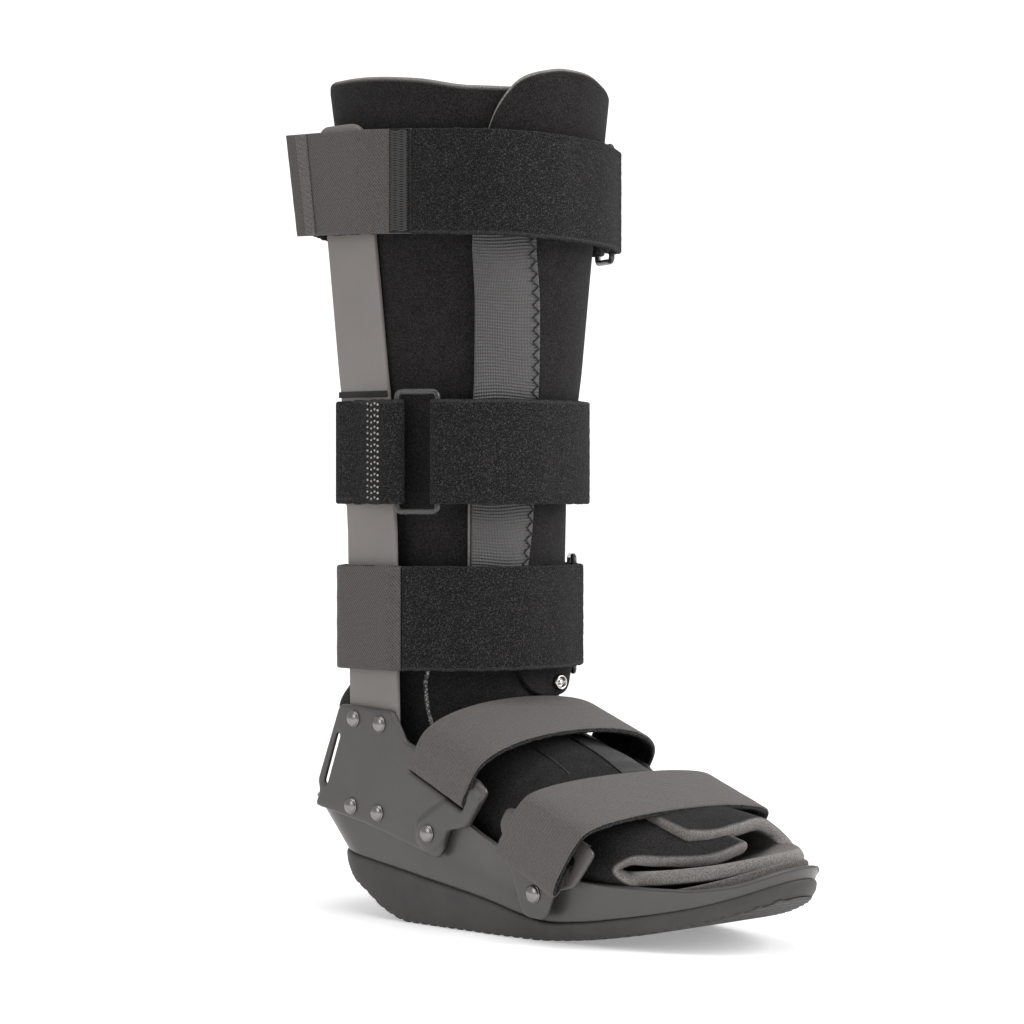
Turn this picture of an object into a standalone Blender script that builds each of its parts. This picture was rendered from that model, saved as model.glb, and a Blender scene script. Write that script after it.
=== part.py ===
"""Medical walking boot: a rocker sole, riveted side brackets, two uprights, a foam liner and five straps.

Metres, +Z up. The toe points along -Y, and the photographed side of the boot is -X.
The origin is on the ground, at the middle of the flat part of the rocker sole.
"""
from math import cos, hypot, pi, sin

import bmesh
import bpy
import numpy as np

# Clearances
GAP = 0.0003
SLOT_PLAY = 0.0004

# Sole and moulded shell
SOLE_HALF_WIDTH = 0.057
SOLE_HEEL_Y = 0.132
SOLE_TOE_Y = -0.156
SOLE_NOSE_Y = 0.005
HEEL_CORNER = 0.030
STERN_RAKE = 0.021
SOLE_HEIGHT = 0.058
SHELL_WALL = 0.0024
SHELL_DRAFT = 0.0022
TREAD_INSET = 0.0032
TREAD_CHAMFER = 0.0016
SEAM_CHAMFER = 0.0014
INSOLE_THICKNESS = 0.0045
INSOLE_MARGIN = 0.0006

# Liner
LEG_TOP_Z = 0.4100
LEG_HALF_WIDTH = 0.0632
LEG_HALF_DEPTH = 0.0728
ANKLE_Y = 0.072
FOAM_THICKNESS = 0.0050
INSTEP_Z = 0.1120
FOOT_HALF_WIDTH = 0.0490
FLAP_THICKNESS = 0.0036
FLAP_GAP = 0.0008
FLAP_DROP = 0.0030
FLAP_PEAK = 0.0075
FLAP_LEFT_TURN = -0.69
FLAP_RIGHT_TURN = 1.16
MESH_RIGHT_TURN = -0.15
MESH_THICKNESS = 0.0010
MESH_DROP = 0.031

# Side brackets, uprights and strap rings
PLATE_THICKNESS = 0.0030
RING_THICKNESS = 0.0026
SLOT_LENGTH = 0.0418
SLOT_HEIGHT = 0.0070
SLOT_SLOPE = 0.411
REAR_SLOT_WIDTH = 0.0030
UPRIGHT_WIDTH = 0.0345
UPRIGHT_THICKNESS = 0.0028
UPRIGHT_Y = 0.0715
UPRIGHT_LEAN = 0.020
UPRIGHT_FOOT_Z = 0.086
UPRIGHT_DROP = 0.014
UPRIGHT_CORNER_SHARE = 0.25
RIVET_HEAD_RADIUS = 0.0042
RIVET_HEAD_HEIGHT = 0.0024
RIVET_SHANK_RADIUS = 0.0022
RING_RIVET_HEAD_RADIUS = 0.0044

# Straps
LEG_STRAP_WIDTH = 0.0508
LEG_STRAP_THICKNESS = 0.0024
LEG_STRAP_SLACK = 0.0006
TOP_STRAP_DROP = 0.0520
MIDDLE_STRAP_Z = 0.2290
LOWER_STRAP_Z = 0.1480
TAIL_LENGTH = 0.036
STRAP_RETURN = 0.024
STRAP_LAP_EASE = 0.020
STRAP_SPACING = 0.016
STRAP_BEND = 0.24
FOOT_STRAP_WIDTH = 0.0400
FOOT_STRAP_THICKNESS = 0.0030
FOOT_STRAP_TUCK = 0.012
FOOT_STRAP_DROP = 0.0135
STRAP_BAR_HEIGHT = 0.0105
FOOT_STRAP_FAN = 0.15
FOLD_EASE = 0.0006
SLOT_CORNER = 0.0012
BUCKLE_CLEARANCE = 0.0035
BAR_EASE = 0.0008
BUCKLE_WIDTH = 0.0235
BUCKLE_ROD = 0.0030
BUCKLE_MARGIN = 0.0052
BUCKLE_CORNER = 0.0030

# Where each leg strap's buckle sits, where its pile ends at a hook tab and where its free end lies, as
# shares of the way round the leg from the front. A hand of 1 puts the buckle on the far side, and -1 on the near side.
#             height          hand  buckle    tab     end    tail         hook tab
LEG_STRAPS = {
    "top_strap": (LEG_TOP_Z - TOP_STRAP_DROP, 1, 0.186, -0.150, -0.262, TAIL_LENGTH, "top_hook_tab"),
    "middle_strap": (MIDDLE_STRAP_Z, -1, 0.158, -0.270, -0.270, 0.0, ""),
    "lower_strap": (LOWER_STRAP_Z, 1, 0.185, -0.162, -0.360, 0.0, "lower_hook_tab")}

# Lines of the sole, from heel (place 0) to toe (place 1). Heights are shares of SOLE_HEIGHT.
#             place   tread  seam   rim
SOLE_LINES = ((0.000, 0.520, 0.640, 1.000),
              (0.075, 0.410, 0.570, 1.000),
              (0.165, 0.240, 0.520, 1.000),
              (0.226, 0.070, 0.476, 1.000),
              (0.280, 0.000, 0.437, 1.000),
              (0.340, 0.000, 0.392, 1.000),
              (0.425, 0.000, 0.330, 0.930),
              (0.476, 0.000, 0.288, 0.820),
              (0.572, 0.000, 0.190, 0.630),
              (0.615, 0.012, 0.170, 0.570),
              (0.667, 0.036, 0.190, 0.534),
              (0.753, 0.100, 0.255, 0.512),
              (0.858, 0.215, 0.360, 0.514),
              (0.927, 0.330, 0.465, 0.560),
              (1.000, 0.480, 0.620, 0.707))

# Outer sections of the leg, from the ankle up. Heights are shares of LEG_TOP_Z, half widths of
# LEG_HALF_WIDTH, half depths of LEG_HALF_DEPTH, and the middle is a share of ANKLE_Y.
#               height  width  depth  middle
LEG_SECTIONS = ((0.395, 0.770, 0.706, 1.000),
                (0.500, 0.782, 0.719, 1.000),
                (0.656, 0.857, 0.806, 0.958),
                (0.793, 0.902, 0.863, 0.930),
                (0.939, 0.962, 0.954, 0.905),
                (1.000, 1.000, 1.000, 0.912))

# Outer sections of the ankle and foot, fanned round the instep. Each has a front or top point and a back or
# bottom point. The y of both is a share of SOLE_HEEL_Y behind the origin and of SOLE_TOE_Y ahead of it. The
# front height and the lift of the back above the footbed are shares of INSTEP_Z, the half width is a share
# of FOOT_HALF_WIDTH, and the last column squares the section.
#                front_y front_z back_y   lift  width  square
FOOT_SECTIONS = ((0.170, 1.223, 0.930, 0.690, 0.980, 2.00),
                 (0.195, 1.080, 1.035, 0.460, 0.975, 2.10),
                 (0.187, 0.965, 0.975, 0.230, 0.960, 2.10),
                 (0.105, 0.880, 0.830, 0.045, 0.940, 2.15),
                 (0.010, 0.820, 0.600, 0.000, 0.945, 2.20),
                 (-0.150, 0.735, 0.300, 0.000, 0.970, 2.50),
                 (-0.300, 0.630, -0.030, 0.000, 0.995, 2.80),
                 (-0.450, 0.555, -0.300, 0.000, 0.990, 2.80),
                 (-0.590, 0.510, -0.520, 0.000, 0.930, 2.80),
                 (-0.680, 0.490, -0.720, 0.000, 0.800, 2.60),
                 (-0.740, 0.480, -0.930, 0.000, 0.600, 2.30))

# Outline of a side bracket in the plane of its outer face: y, z and corner radius.
BRACKET_OUTLINE = ((0.0930, 0.1050, 0.0055),
                   (0.0545, 0.1030, 0.0060),
                   (0.0455, 0.0890, 0.0060),
                   (-0.0040, 0.0735, 0.0050),
                   (-0.0110, 0.0680, 0.0035),
                   (0.0020, 0.0505, 0.0050),
                   (0.0150, 0.0480, 0.0040),
                   (0.0215, 0.0335, 0.0070),
                   (0.0320, 0.0360, 0.0080),
                   (0.0750, 0.0470, 0.0300),
                   (0.1115, 0.0535, 0.0020),
                   (0.1080, 0.0610, 0.0060),
                   (0.1095, 0.0660, 0.0060),
                   (0.0985, 0.0920, 0.0060))
REAR_SLOT_TOP = (0.0945, 0.0890)
REAR_SLOT_FOOT = (0.1035, 0.0660)
UPRIGHT_RIVETS = ((0.0823, 0.0980), (0.0635, 0.0963))
SHELL_RIVETS = ((0.0842, 0.0549), (0.0650, 0.0529))
INSTEP_PIVOT = (0.0280, 0.0459)
FOREFOOT_PIVOT = (-0.0415, 0.0232)

# Outline of the loose forefoot ring about its rivet, and the place of a strap slot about its rivet.
RING_OUTLINE = ((0.0175, 0.0395, 0.0050),
                (-0.0310, 0.0265, 0.0050),
                (-0.0385, 0.0215, 0.0035),
                (-0.0255, 0.0050, 0.0050),
                (-0.0130, 0.0020, 0.0040),
                (-0.0075, -0.0120, 0.0065),
                (0.0080, -0.0110, 0.0080),
                (0.0230, 0.0310, 0.0060))
SLOT_FROM_RIVET = (0.0149, 0.0290)

# The arch of a foot strap: the x share and height share of the way from the ring to the top of the foot.
INSTEP_TOP = (0.0030, 0.1010)
FOREFOOT_TOP = (-0.0660, 0.0680)
ARCH_SQUARE = 2.15
ARCH_STEPS = 9

NEAR = -1
FAR = 1
ROUND_STEPS = 6


def clear_scene():
    """Remove every object that the scene starts with."""
    for scene_object in list(bpy.data.objects):
        bpy.data.objects.remove(scene_object, do_unlink=True)


def new_collection(name):
    """Add a collection to the scene."""
    collection = bpy.data.collections.new(name)
    bpy.context.scene.collection.children.link(collection)
    return collection


def new_material(name, colour, roughness, metallic=0.0):
    """A Principled material with one colour."""
    material = bpy.data.materials.new(name)
    material.use_nodes = True
    shader = material.node_tree.nodes["Principled BSDF"]
    shader.inputs["Base Color"].default_value = (*colour, 1.0)
    shader.inputs["Roughness"].default_value = roughness
    shader.inputs["Metallic"].default_value = metallic
    return material


def add_mesh(name, vertices, faces, material):
    """Link a mesh object, with doubled points merged and faces pointing out."""
    mesh = bpy.data.meshes.new(name)
    shape = bmesh.new()
    points = [shape.verts.new(vertex) for vertex in vertices]
    for face in faces:
        shape.faces.new([points[index] for index in face])
    bmesh.ops.remove_doubles(shape, verts=shape.verts, dist=0.00001)
    bmesh.ops.dissolve_degenerate(shape, edges=shape.edges, dist=0.00001)
    bmesh.ops.recalc_face_normals(shape, faces=shape.faces)
    shape.to_mesh(mesh)
    shape.free()
    mesh.materials.append(material)
    part = bpy.data.objects.new(name, mesh)
    BOOT.objects.link(part)
    return part


def skin(rings, closed):
    """Faces of a grid of rings, rows by columns. A closed grid joins its last column to its first."""
    rows = len(rings)
    columns = len(rings[0])
    last = columns if closed else columns - 1
    faces = []
    for row in range(rows - 1):
        for column in range(last):
            after = (column + 1) % columns
            faces.append((row * columns + column, row * columns + after,
                          (row + 1) * columns + after, (row + 1) * columns + column))
    return faces


def solidify(part, thickness, offset):
    """Give an open surface a wall."""
    wall = part.modifiers.new("Wall", "SOLIDIFY")
    wall.thickness = thickness
    wall.offset = offset
    wall.use_even_offset = True
    wall.use_rim = True


def mirror(part):
    """Complete a half that is open at x = 0."""
    half = part.modifiers.new("Other half", "MIRROR")
    half.use_axis = (True, False, False)
    half.use_clip = True
    half.merge_threshold = 0.0001


def smooth_column(rows, column, places):
    """Read one column of a table at places, through a smooth curve that never overshoots its rows."""
    xs = np.array([row[0] for row in rows])
    ys = np.array([row[column] for row in rows])
    steps = np.diff(xs)
    slopes = np.diff(ys) / steps
    tangents = np.zeros(len(xs))
    for index in range(1, len(xs) - 1):
        before, after = slopes[index - 1], slopes[index]
        if before * after > 0:
            tangents[index] = 2 * before * after / (before + after)
    tangents[0], tangents[-1] = slopes[0], slopes[-1]
    places = np.clip(places, xs[0], xs[-1])
    cell = np.clip(np.searchsorted(xs, places) - 1, 0, len(steps) - 1)
    share = (places - xs[cell]) / steps[cell]
    rest = 1 - share
    before = (1 + 2 * share) * rest ** 2 * ys[cell] + share * rest ** 2 * steps[cell] * tangents[cell]
    after = (3 - 2 * share) * share ** 2 * ys[cell + 1] - rest * share ** 2 * steps[cell] * tangents[cell + 1]
    return before + after


def sole_line(line, y):
    """Height of the tread, the seam or the rim above the ground at y."""
    column = ("place", "tread", "seam", "rim").index(line)
    place = (SOLE_HEEL_Y - y) / (SOLE_HEEL_Y - SOLE_TOE_Y)
    return SOLE_HEIGHT * float(smooth_column(SOLE_LINES, column, place))


def sole_plan(inset, heel_y):
    """Half the plan of the sole, from the heel to the toe: a rounded heel corner, a straight side, a long nose."""
    half_width = SOLE_HALF_WIDTH - inset
    corner = HEEL_CORNER - inset
    heel_y -= inset
    nose = SOLE_NOSE_Y - SOLE_TOE_Y - inset
    points = []
    for step in range(ROUND_STEPS + 1):
        turn = 0.5 * pi * step / ROUND_STEPS
        points.append((-(half_width - corner + corner * sin(turn)), heel_y - corner * (1 - cos(turn))))
    straight_steps = 7
    start = points[-1][1]
    for step in range(1, straight_steps):
        points.append((-half_width, start + (SOLE_NOSE_Y - start) * step / straight_steps))
    nose_steps = 14
    for step in range(nose_steps + 1):
        turn = 0.5 * pi * step / nose_steps
        points.append((-half_width * cos(turn), SOLE_NOSE_Y - nose * sin(turn)))
    return points


def make_outsole():
    """The rubber rocker: a flat middle, a raised heel edge and a long sprung toe."""
    heel_y = SOLE_HEEL_Y - STERN_RAKE
    rings = [("tread", TREAD_INSET + TREAD_CHAMFER, 0.0), ("tread", TREAD_INSET, TREAD_CHAMFER),
             ("seam", SHELL_DRAFT * 0.5, -SEAM_CHAMFER), ("seam", SHELL_DRAFT * 0.5 + SEAM_CHAMFER, 0.0)]
    columns = []
    for line, inset, lift in rings:
        drop = GAP if line == "seam" else 0.0
        columns.append([(x, y, sole_line(line, y) + lift - drop) for x, y in sole_plan(inset, heel_y)])
    rows = []
    for index in range(len(columns[0])):
        row = [column[index] for column in columns]
        bottom, top = row[0], row[-1]
        rows.append([(0.0, bottom[1], bottom[2])] + row + [(0.0, top[1], top[2])])
    back = [(0.0, point[1], point[2]) for point in rows[0]]
    rows.insert(0, back)
    outsole = add_mesh("outsole", sum(rows, []), skin(rows, False), RUBBER)
    mirror(outsole)


def make_shell():
    """The moulded tray that holds the foot: a floor on the outsole and a wall that leans out towards the rim."""
    low = sole_plan(SHELL_DRAFT, SOLE_HEEL_Y - STERN_RAKE)
    high = sole_plan(0.0, SOLE_HEEL_Y)
    wall_steps = 3
    rows = []
    for (low_x, low_y), (high_x, high_y) in zip(low, high):
        foot = sole_line("seam", low_y)
        rim = sole_line("rim", high_y)
        row = [(0.0, low_y, foot)]
        for step in range(wall_steps + 1):
            share = step / wall_steps
            row.append((low_x + (high_x - low_x) * share, low_y + (high_y - low_y) * share,
                        foot + (rim - foot) * share))
        rows.append(row)
    back = [(0.0, point[1], point[2]) for point in rows[0]]
    rows.insert(0, back)
    shell = add_mesh("sole_shell", sum(rows, []), skin(rows, False), SHELL_PLASTIC)
    mirror(shell)
    solidify(shell, SHELL_WALL, -1.0)
    return shell


def floor_height(y):
    """Top of the shell's floor."""
    return sole_line("seam", y) + SHELL_WALL


def make_insole():
    """The foam footbed that lies on the floor of the shell."""
    margin = SHELL_WALL + SHELL_DRAFT + INSOLE_MARGIN
    rows = []
    across_steps = 2
    for x, y in sole_plan(margin, SOLE_HEEL_Y - STERN_RAKE):
        low = floor_height(y) + GAP
        row = [(x * step / across_steps, y, low) for step in range(across_steps + 1)]
        row += [(x * step / across_steps, y, low + INSOLE_THICKNESS) for step in range(across_steps, -1, -1)]
        rows.append(row)
    back = [(0.0, point[1], point[2]) for point in rows[0]]
    rows.insert(0, back)
    insole = add_mesh("insole", sum(rows, []), skin(rows, False), INSOLE_FOAM)
    mirror(insole)


def leg_section(z):
    """Half width, half depth and middle y of the liner's outside at a height."""
    places = [row[0] for row in LEG_SECTIONS]
    width, depth, middle = (float(np.interp(z / LEG_TOP_Z, places, [row[column] for row in LEG_SECTIONS]))
                            for column in (1, 2, 3))
    return LEG_HALF_WIDTH * width, LEG_HALF_DEPTH * depth, ANKLE_Y * middle


def leg_point(turn, z, out):
    """A point round the leg. The turn is 0 at the front and grows towards +X, and out is how far off it lies."""
    half_width, half_depth, middle = leg_section(z)
    return ((half_width + out) * sin(turn), middle - (half_depth + out) * cos(turn), z)


def foot_y(share):
    """A share of the boot's length behind or ahead of the origin."""
    return share * SOLE_HEEL_Y if share > 0 else -share * SOLE_TOE_Y


def make_liner():
    """The padded liner: a leg tube that bends round the heel into the foot, open at the calf and at the toes."""
    around = 28
    rings = []
    for row in reversed(LEG_SECTIONS):
        z = row[0] * LEG_TOP_Z
        rings.append([leg_point(2 * pi * step / around, z, 0.0) for step in range(around)])
    for front_y, front_z, back_y, lift, width, square in FOOT_SECTIONS:
        front = np.array((0.0, foot_y(front_y), front_z * INSTEP_Z))
        bed = floor_height(foot_y(back_y)) + GAP + INSOLE_THICKNESS
        back = np.array((0.0, foot_y(back_y), bed + 2 * GAP + lift * INSTEP_Z))
        middle = (front + back) / 2
        reach = (front - back) / 2
        ring = []
        for step in range(around):
            turn = 2 * pi * step / around
            along = abs(cos(turn)) ** (2 / square) * (1 if cos(turn) > 0 else -1)
            across = abs(sin(turn)) ** (2 / square) * (1 if sin(turn) > 0 else -1)
            point = middle + reach * along
            ring.append((width * FOOT_HALF_WIDTH * across, point[1], point[2]))
        rings.append(ring)
    liner = add_mesh("liner", sum(rings, []), skin(rings, True), LINER_FOAM)
    solidify(liner, FOAM_THICKNESS, -1.0)


def leg_sheet(name, left, right, top_z, crown, out, thickness, material, columns):
    """A sheet laid round the leg from one turn to another, from the ankle up to a crowned top edge."""
    heights = [row[0] * LEG_TOP_Z for row in LEG_SECTIONS if row[0] * LEG_TOP_Z < top_z - crown]
    grid = []
    for z in heights + [None]:
        line = []
        for column in range(columns + 1):
            share = column / columns
            here = z or top_z + crown * sin(pi * share) ** 0.5
            line.append(leg_point(left + (right - left) * share, here, out))
        grid.append(line)
    sheet = add_mesh(name, sum(grid, []), skin(grid, False), material)
    solidify(sheet, thickness, 0.0)


def rounded_outline(corners):
    """Replace each corner of an outline by an arc of its radius."""
    points = []
    count = len(corners)
    for index, (y, z, radius) in enumerate(corners):
        here = np.array((y, z))
        before = np.array(corners[index - 1][:2]) - here
        after = np.array(corners[(index + 1) % count][:2]) - here
        before_length, after_length = hypot(*before), hypot(*after)
        before, after = before / before_length, after / after_length
        half_angle = 0.5 * np.arccos(np.clip(before @ after, -1, 1))
        reach = min(radius / np.tan(half_angle), 0.48 * before_length, 0.48 * after_length)
        start, end = here + before * reach, here + after * reach
        arc_steps = 5
        for step in range(arc_steps + 1):
            share = step / arc_steps
            point = (1 - share) ** 2 * start + 2 * share * (1 - share) * here + share ** 2 * end
            points.append((float(point[0]), float(point[1])))
    return points


def round_hole(centre, radius):
    """A circle as an outline."""
    sides = 10
    return [(centre[0] + radius * cos(2 * pi * side / sides), centre[1] + radius * sin(2 * pi * side / sides))
            for side in range(sides)]


def long_hole(start, end, width):
    """A slot with round ends between two centres."""
    start, end = np.array(start), np.array(end)
    along = (end - start) / hypot(*(end - start))
    across = np.array((-along[1], along[0]))
    points = []
    end_steps = 5
    for centre, facing in ((end, 1), (start, -1)):
        for step in range(end_steps + 1):
            turn = pi * (step / end_steps - 0.5)
            offset = facing * (along * cos(turn) + across * sin(turn)) * width / 2
            points.append(tuple(float(value) for value in centre + offset))
    return points


def flat_plate(name, outline, holes, outer_x, thickness, side, material):
    """A flat plate in a plane of constant x, made from an outline with holes. outer_x is its outer face."""
    curve = bpy.data.curves.new(name, "CURVE")
    curve.dimensions = "2D"
    curve.fill_mode = "BOTH"
    curve.extrude = thickness / 2
    for loop in [outline] + holes:
        spline = curve.splines.new("POLY")
        spline.points.add(len(loop) - 1)
        for point, (y, z) in zip(spline.points, loop):
            point.co = (y, z, 0.0, 1.0)
        spline.use_cyclic_u = True
    flat = bpy.data.objects.new(name, curve)
    BOOT.objects.link(flat)
    mesh = bpy.data.meshes.new_from_object(flat.evaluated_get(bpy.context.evaluated_depsgraph_get()))
    bpy.data.objects.remove(flat, do_unlink=True)
    shape = bmesh.new()
    shape.from_mesh(mesh)
    middle = side * (outer_x - thickness / 2)
    for vertex in shape.verts:
        y, z, depth = vertex.co
        vertex.co = (middle + depth, y, z)
    bmesh.ops.remove_doubles(shape, verts=shape.verts, dist=0.00001)
    bmesh.ops.recalc_face_normals(shape, faces=shape.faces)
    shape.to_mesh(mesh)
    shape.free()
    mesh.name = name
    mesh.materials.clear()
    mesh.materials.append(material)
    plate = bpy.data.objects.new(name, mesh)
    BOOT.objects.link(plate)
    return plate


def slot_frame(pivot):
    """The lower rear corner of a strap slot, the direction forward along it and the direction up across it."""
    corner = np.array(pivot) + np.array(SLOT_FROM_RIVET)
    forward = np.array((-cos(SLOT_SLOPE), -sin(SLOT_SLOPE)))
    up = np.array((-sin(SLOT_SLOPE), cos(SLOT_SLOPE)))
    return corner, forward, up


def strap_slot(pivot):
    """Outline of the slot that a foot strap passes through."""
    corner, forward, up = slot_frame(pivot)
    corners = [corner, corner + forward * SLOT_LENGTH, corner + forward * SLOT_LENGTH + up * SLOT_HEIGHT,
               corner + up * SLOT_HEIGHT]
    return rounded_outline([(point[0], point[1], SLOT_CORNER) for point in corners])


PLATE_OUTER_X = SOLE_HALF_WIDTH + GAP + PLATE_THICKNESS
RING_OUTER_X = SOLE_HALF_WIDTH + GAP + RING_THICKNESS


def make_bracket(side, label):
    """A side bracket: it carries the upright, is riveted to the shell and ends in the instep strap's loop."""
    holes = [round_hole(centre, RIVET_SHANK_RADIUS + GAP) for centre in UPRIGHT_RIVETS + SHELL_RIVETS]
    holes.append(round_hole(INSTEP_PIVOT, RIVET_SHANK_RADIUS + GAP))
    holes.append(long_hole(REAR_SLOT_TOP, REAR_SLOT_FOOT, REAR_SLOT_WIDTH))
    holes.append(strap_slot(INSTEP_PIVOT))
    flat_plate("bracket_" + label, rounded_outline(BRACKET_OUTLINE), holes, PLATE_OUTER_X, PLATE_THICKNESS,
               side, SHELL_PLASTIC)


def make_forefoot_ring(side, label):
    """The loose plate ring that the forefoot strap passes through."""
    outline = [(y + FOREFOOT_PIVOT[0], z + FOREFOOT_PIVOT[1], radius) for y, z, radius in RING_OUTLINE]
    holes = [round_hole(FOREFOOT_PIVOT, RIVET_SHANK_RADIUS + GAP), strap_slot(FOREFOOT_PIVOT)]
    flat_plate("forefoot_ring_" + label, rounded_outline(outline), holes, RING_OUTER_X, RING_THICKNESS,
               side, SHELL_PLASTIC)


def make_rivet(name, centre, outer_x, head_radius, side):
    """A domed rivet. Its shank fills the hole and stops at what the plate is fixed to."""
    dome_steps = 3
    profile = []
    for step in range(dome_steps + 1):
        turn = 0.5 * pi * step / dome_steps
        profile.append((head_radius * sin(turn), outer_x + GAP + RIVET_HEAD_HEIGHT * cos(turn)))
    profile[0] = (0.0, outer_x + GAP + RIVET_HEAD_HEIGHT)
    profile.append((RIVET_SHANK_RADIUS, outer_x + GAP))
    profile.append((RIVET_SHANK_RADIUS, SOLE_HALF_WIDTH + GAP))
    profile.append((0.0, SOLE_HALF_WIDTH + GAP))
    sides = 9
    rings = []
    for radius, depth in profile:
        rings.append([(side * depth, centre[0] + radius * cos(2 * pi * turn / sides),
                       centre[1] + radius * sin(2 * pi * turn / sides)) for turn in range(sides)])
    add_mesh(name, sum(rings, []), skin(rings, True), RIVET_METAL)


def upright_line(z):
    """Outer x and middle y of an upright: straight above the bracket, then out along the calf."""
    seat = SOLE_HALF_WIDTH
    calf = leg_section(z)[0] + GAP + UPRIGHT_THICKNESS + LEG_STRAP_SLACK
    lean = max(0.0, z - UPRIGHT_FOOT_Z) * UPRIGHT_LEAN
    return max(seat, calf), UPRIGHT_Y + lean


def make_upright(side, label):
    """A flat metal bar up the side of the leg, with rounded top corners."""
    top = LEG_TOP_Z - UPRIGHT_DROP
    corner = UPRIGHT_WIDTH * UPRIGHT_CORNER_SHARE
    corner_steps = 4
    heights = list(np.linspace(UPRIGHT_FOOT_Z, top - corner, 12))
    widths = [UPRIGHT_WIDTH] * len(heights)
    for step in range(1, corner_steps + 1):
        turn = 0.5 * pi * step / corner_steps
        heights.append(top - corner + corner * sin(turn))
        widths.append(UPRIGHT_WIDTH - 2 * corner * (1 - cos(turn)))
    rings = []
    for z, width in zip(heights, widths):
        outer, middle = upright_line(z)
        inner = outer - UPRIGHT_THICKNESS
        rings.append([(side * outer, middle - width / 2, z), (side * outer, middle + width / 2, z),
                      (side * inner, middle + width / 2, z), (side * inner, middle - width / 2, z)])
    faces = skin(rings, True)
    last = 4 * (len(rings) - 1)
    faces += [(3, 2, 1, 0), (last, last + 1, last + 2, last + 3)]
    add_mesh("upright_" + label, sum(rings, []), faces, UPRIGHT_METAL)


def ribbon(name, path, width_line, width, thickness, material, open_start=False):
    """A strap: a flat section carried along a path, edge on to the width directions."""
    path = np.array(path)
    width_line = np.array(width_line)
    along = np.gradient(path, axis=0)
    along /= np.linalg.norm(along, axis=1)[:, None]
    face = np.cross(along, width_line)
    face /= np.linalg.norm(face, axis=1)[:, None]
    if open_start:
        face[0][0] = 0.0
        face[0] /= np.linalg.norm(face[0])
    edge, depth = width_line * width / 2, face * thickness / 2
    rings = [[tuple(path[i] + edge[i] + depth[i]), tuple(path[i] - edge[i] + depth[i]),
              tuple(path[i] - edge[i] - depth[i]), tuple(path[i] + edge[i] - depth[i])] for i in range(len(path))]
    faces = skin(rings, True)
    last = 4 * (len(rings) - 1)
    faces.append((last, last + 1, last + 2, last + 3))
    if not open_start:
        faces.append((3, 2, 1, 0))
    return add_mesh(name, sum(rings, []), faces, material)


def make_foot_strap(name, pivot, top, outer_x, plate_thickness, drop, material):
    """A foot strap: up from one ring, over the foot and down to the other, each end looped through its slot."""
    corner, forward, up = slot_frame(pivot)
    centre = corner + forward * SLOT_LENGTH / 2
    half = FOOT_STRAP_THICKNESS / 2
    outside = outer_x + GAP + half
    inside = outer_x - plate_thickness - GAP - half
    seat = SLOT_PLAY + half
    rise = float((np.array(top) - centre) @ up)
    lean = float((np.array(top) - centre) @ forward)
    layer = FOOT_STRAP_THICKNESS + 2 * GAP if drop else 0.0
    rows = []
    foot = SLOT_HEIGHT + STRAP_BAR_HEIGHT + half
    for step in range(ARCH_STEPS + 1):
        turn = 0.5 * pi * step / ARCH_STEPS
        rows.append(((outside + layer) * sin(turn) ** (2 / ARCH_SQUARE),
                     foot + (rise - foot) * cos(turn) ** (2 / ARCH_SQUARE)))
    rows.append((outside + layer, (foot + seat) / 2))
    if not drop:
        rows.append((outside, seat + half))
    bend_steps = 4
    if drop:
        rows.append((outside + layer, seat - drop / 2))
        for step in range(bend_steps + 1):
            turn = pi * step / bend_steps
            rows.append((outside + layer / 2 + layer / 2 * cos(turn), seat - drop - layer / 2 * sin(turn)))
        rows.append((outside, seat - half - SLOT_PLAY))
    rows.append((outside - FOLD_EASE, seat - FOLD_EASE / 3))
    rows.append((outside - half, seat))
    rows.append((inside + half, seat))
    rows.append((inside + FOLD_EASE, seat + FOLD_EASE))
    rows.append((inside, seat + half))
    rows.append((inside, seat + FOOT_STRAP_TUCK))
    path = []
    widths = []
    for x, height in rows:
        share = max(0.0, height - seat) / (rise - seat)
        place = centre + up * height + forward * lean * share
        path.append((NEAR * x, place[0], place[1]))
        level = 1 - FOOT_STRAP_FAN * share
        widths.append((0.0, cos(SLOT_SLOPE * level), sin(SLOT_SLOPE * level)))
    strap = ribbon(name, path, widths, FOOT_STRAP_WIDTH, FOOT_STRAP_THICKNESS, material, open_start=True)
    mirror(strap)


def flap_reach(turn):
    """How far the front flap and the mesh panel stand off the liner at a turn."""
    if FLAP_LEFT_TURN <= turn <= MESH_RIGHT_TURN:
        return FLAP_GAP + FLAP_THICKNESS + GAP + MESH_THICKNESS
    if FLAP_LEFT_TURN <= turn <= FLAP_RIGHT_TURN:
        return FLAP_GAP + FLAP_THICKNESS
    return 0.0


def taut_line(z, hand):
    """The line that a taut strap takes round the leg: the convex hull of the liner, its flap and both
    uprights at the strap's edges. Returns its points, their outward directions, their shares of the way round
    from the front, growing towards the far side of a strap with hand 1, and its length."""
    solid = []
    for height in (z - LEG_STRAP_WIDTH / 2, z + LEG_STRAP_WIDTH / 2):
        for turn in np.linspace(-pi, pi, 121):
            solid.append(leg_point(turn, height, flap_reach(hand * turn))[:2])
        outer, middle = upright_line(height)
        for side in (NEAR, FAR):
            solid += [(side * outer, middle - UPRIGHT_WIDTH / 2), (side * outer, middle + UPRIGHT_WIDTH / 2)]
    solid = np.array(solid)
    turns = np.linspace(-pi, pi, 721)
    outward = np.stack([np.sin(turns), -np.cos(turns)], axis=1)
    line = solid[np.argmax(outward @ solid.T, axis=1)] + LEG_STRAP_SLACK * outward
    way = np.concatenate([[0.0], np.cumsum(np.hypot(*np.diff(line, axis=0).T))])
    front = np.interp(0.0, turns, way)
    return line, outward, (way - front) / way[-1], way[-1]


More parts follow.
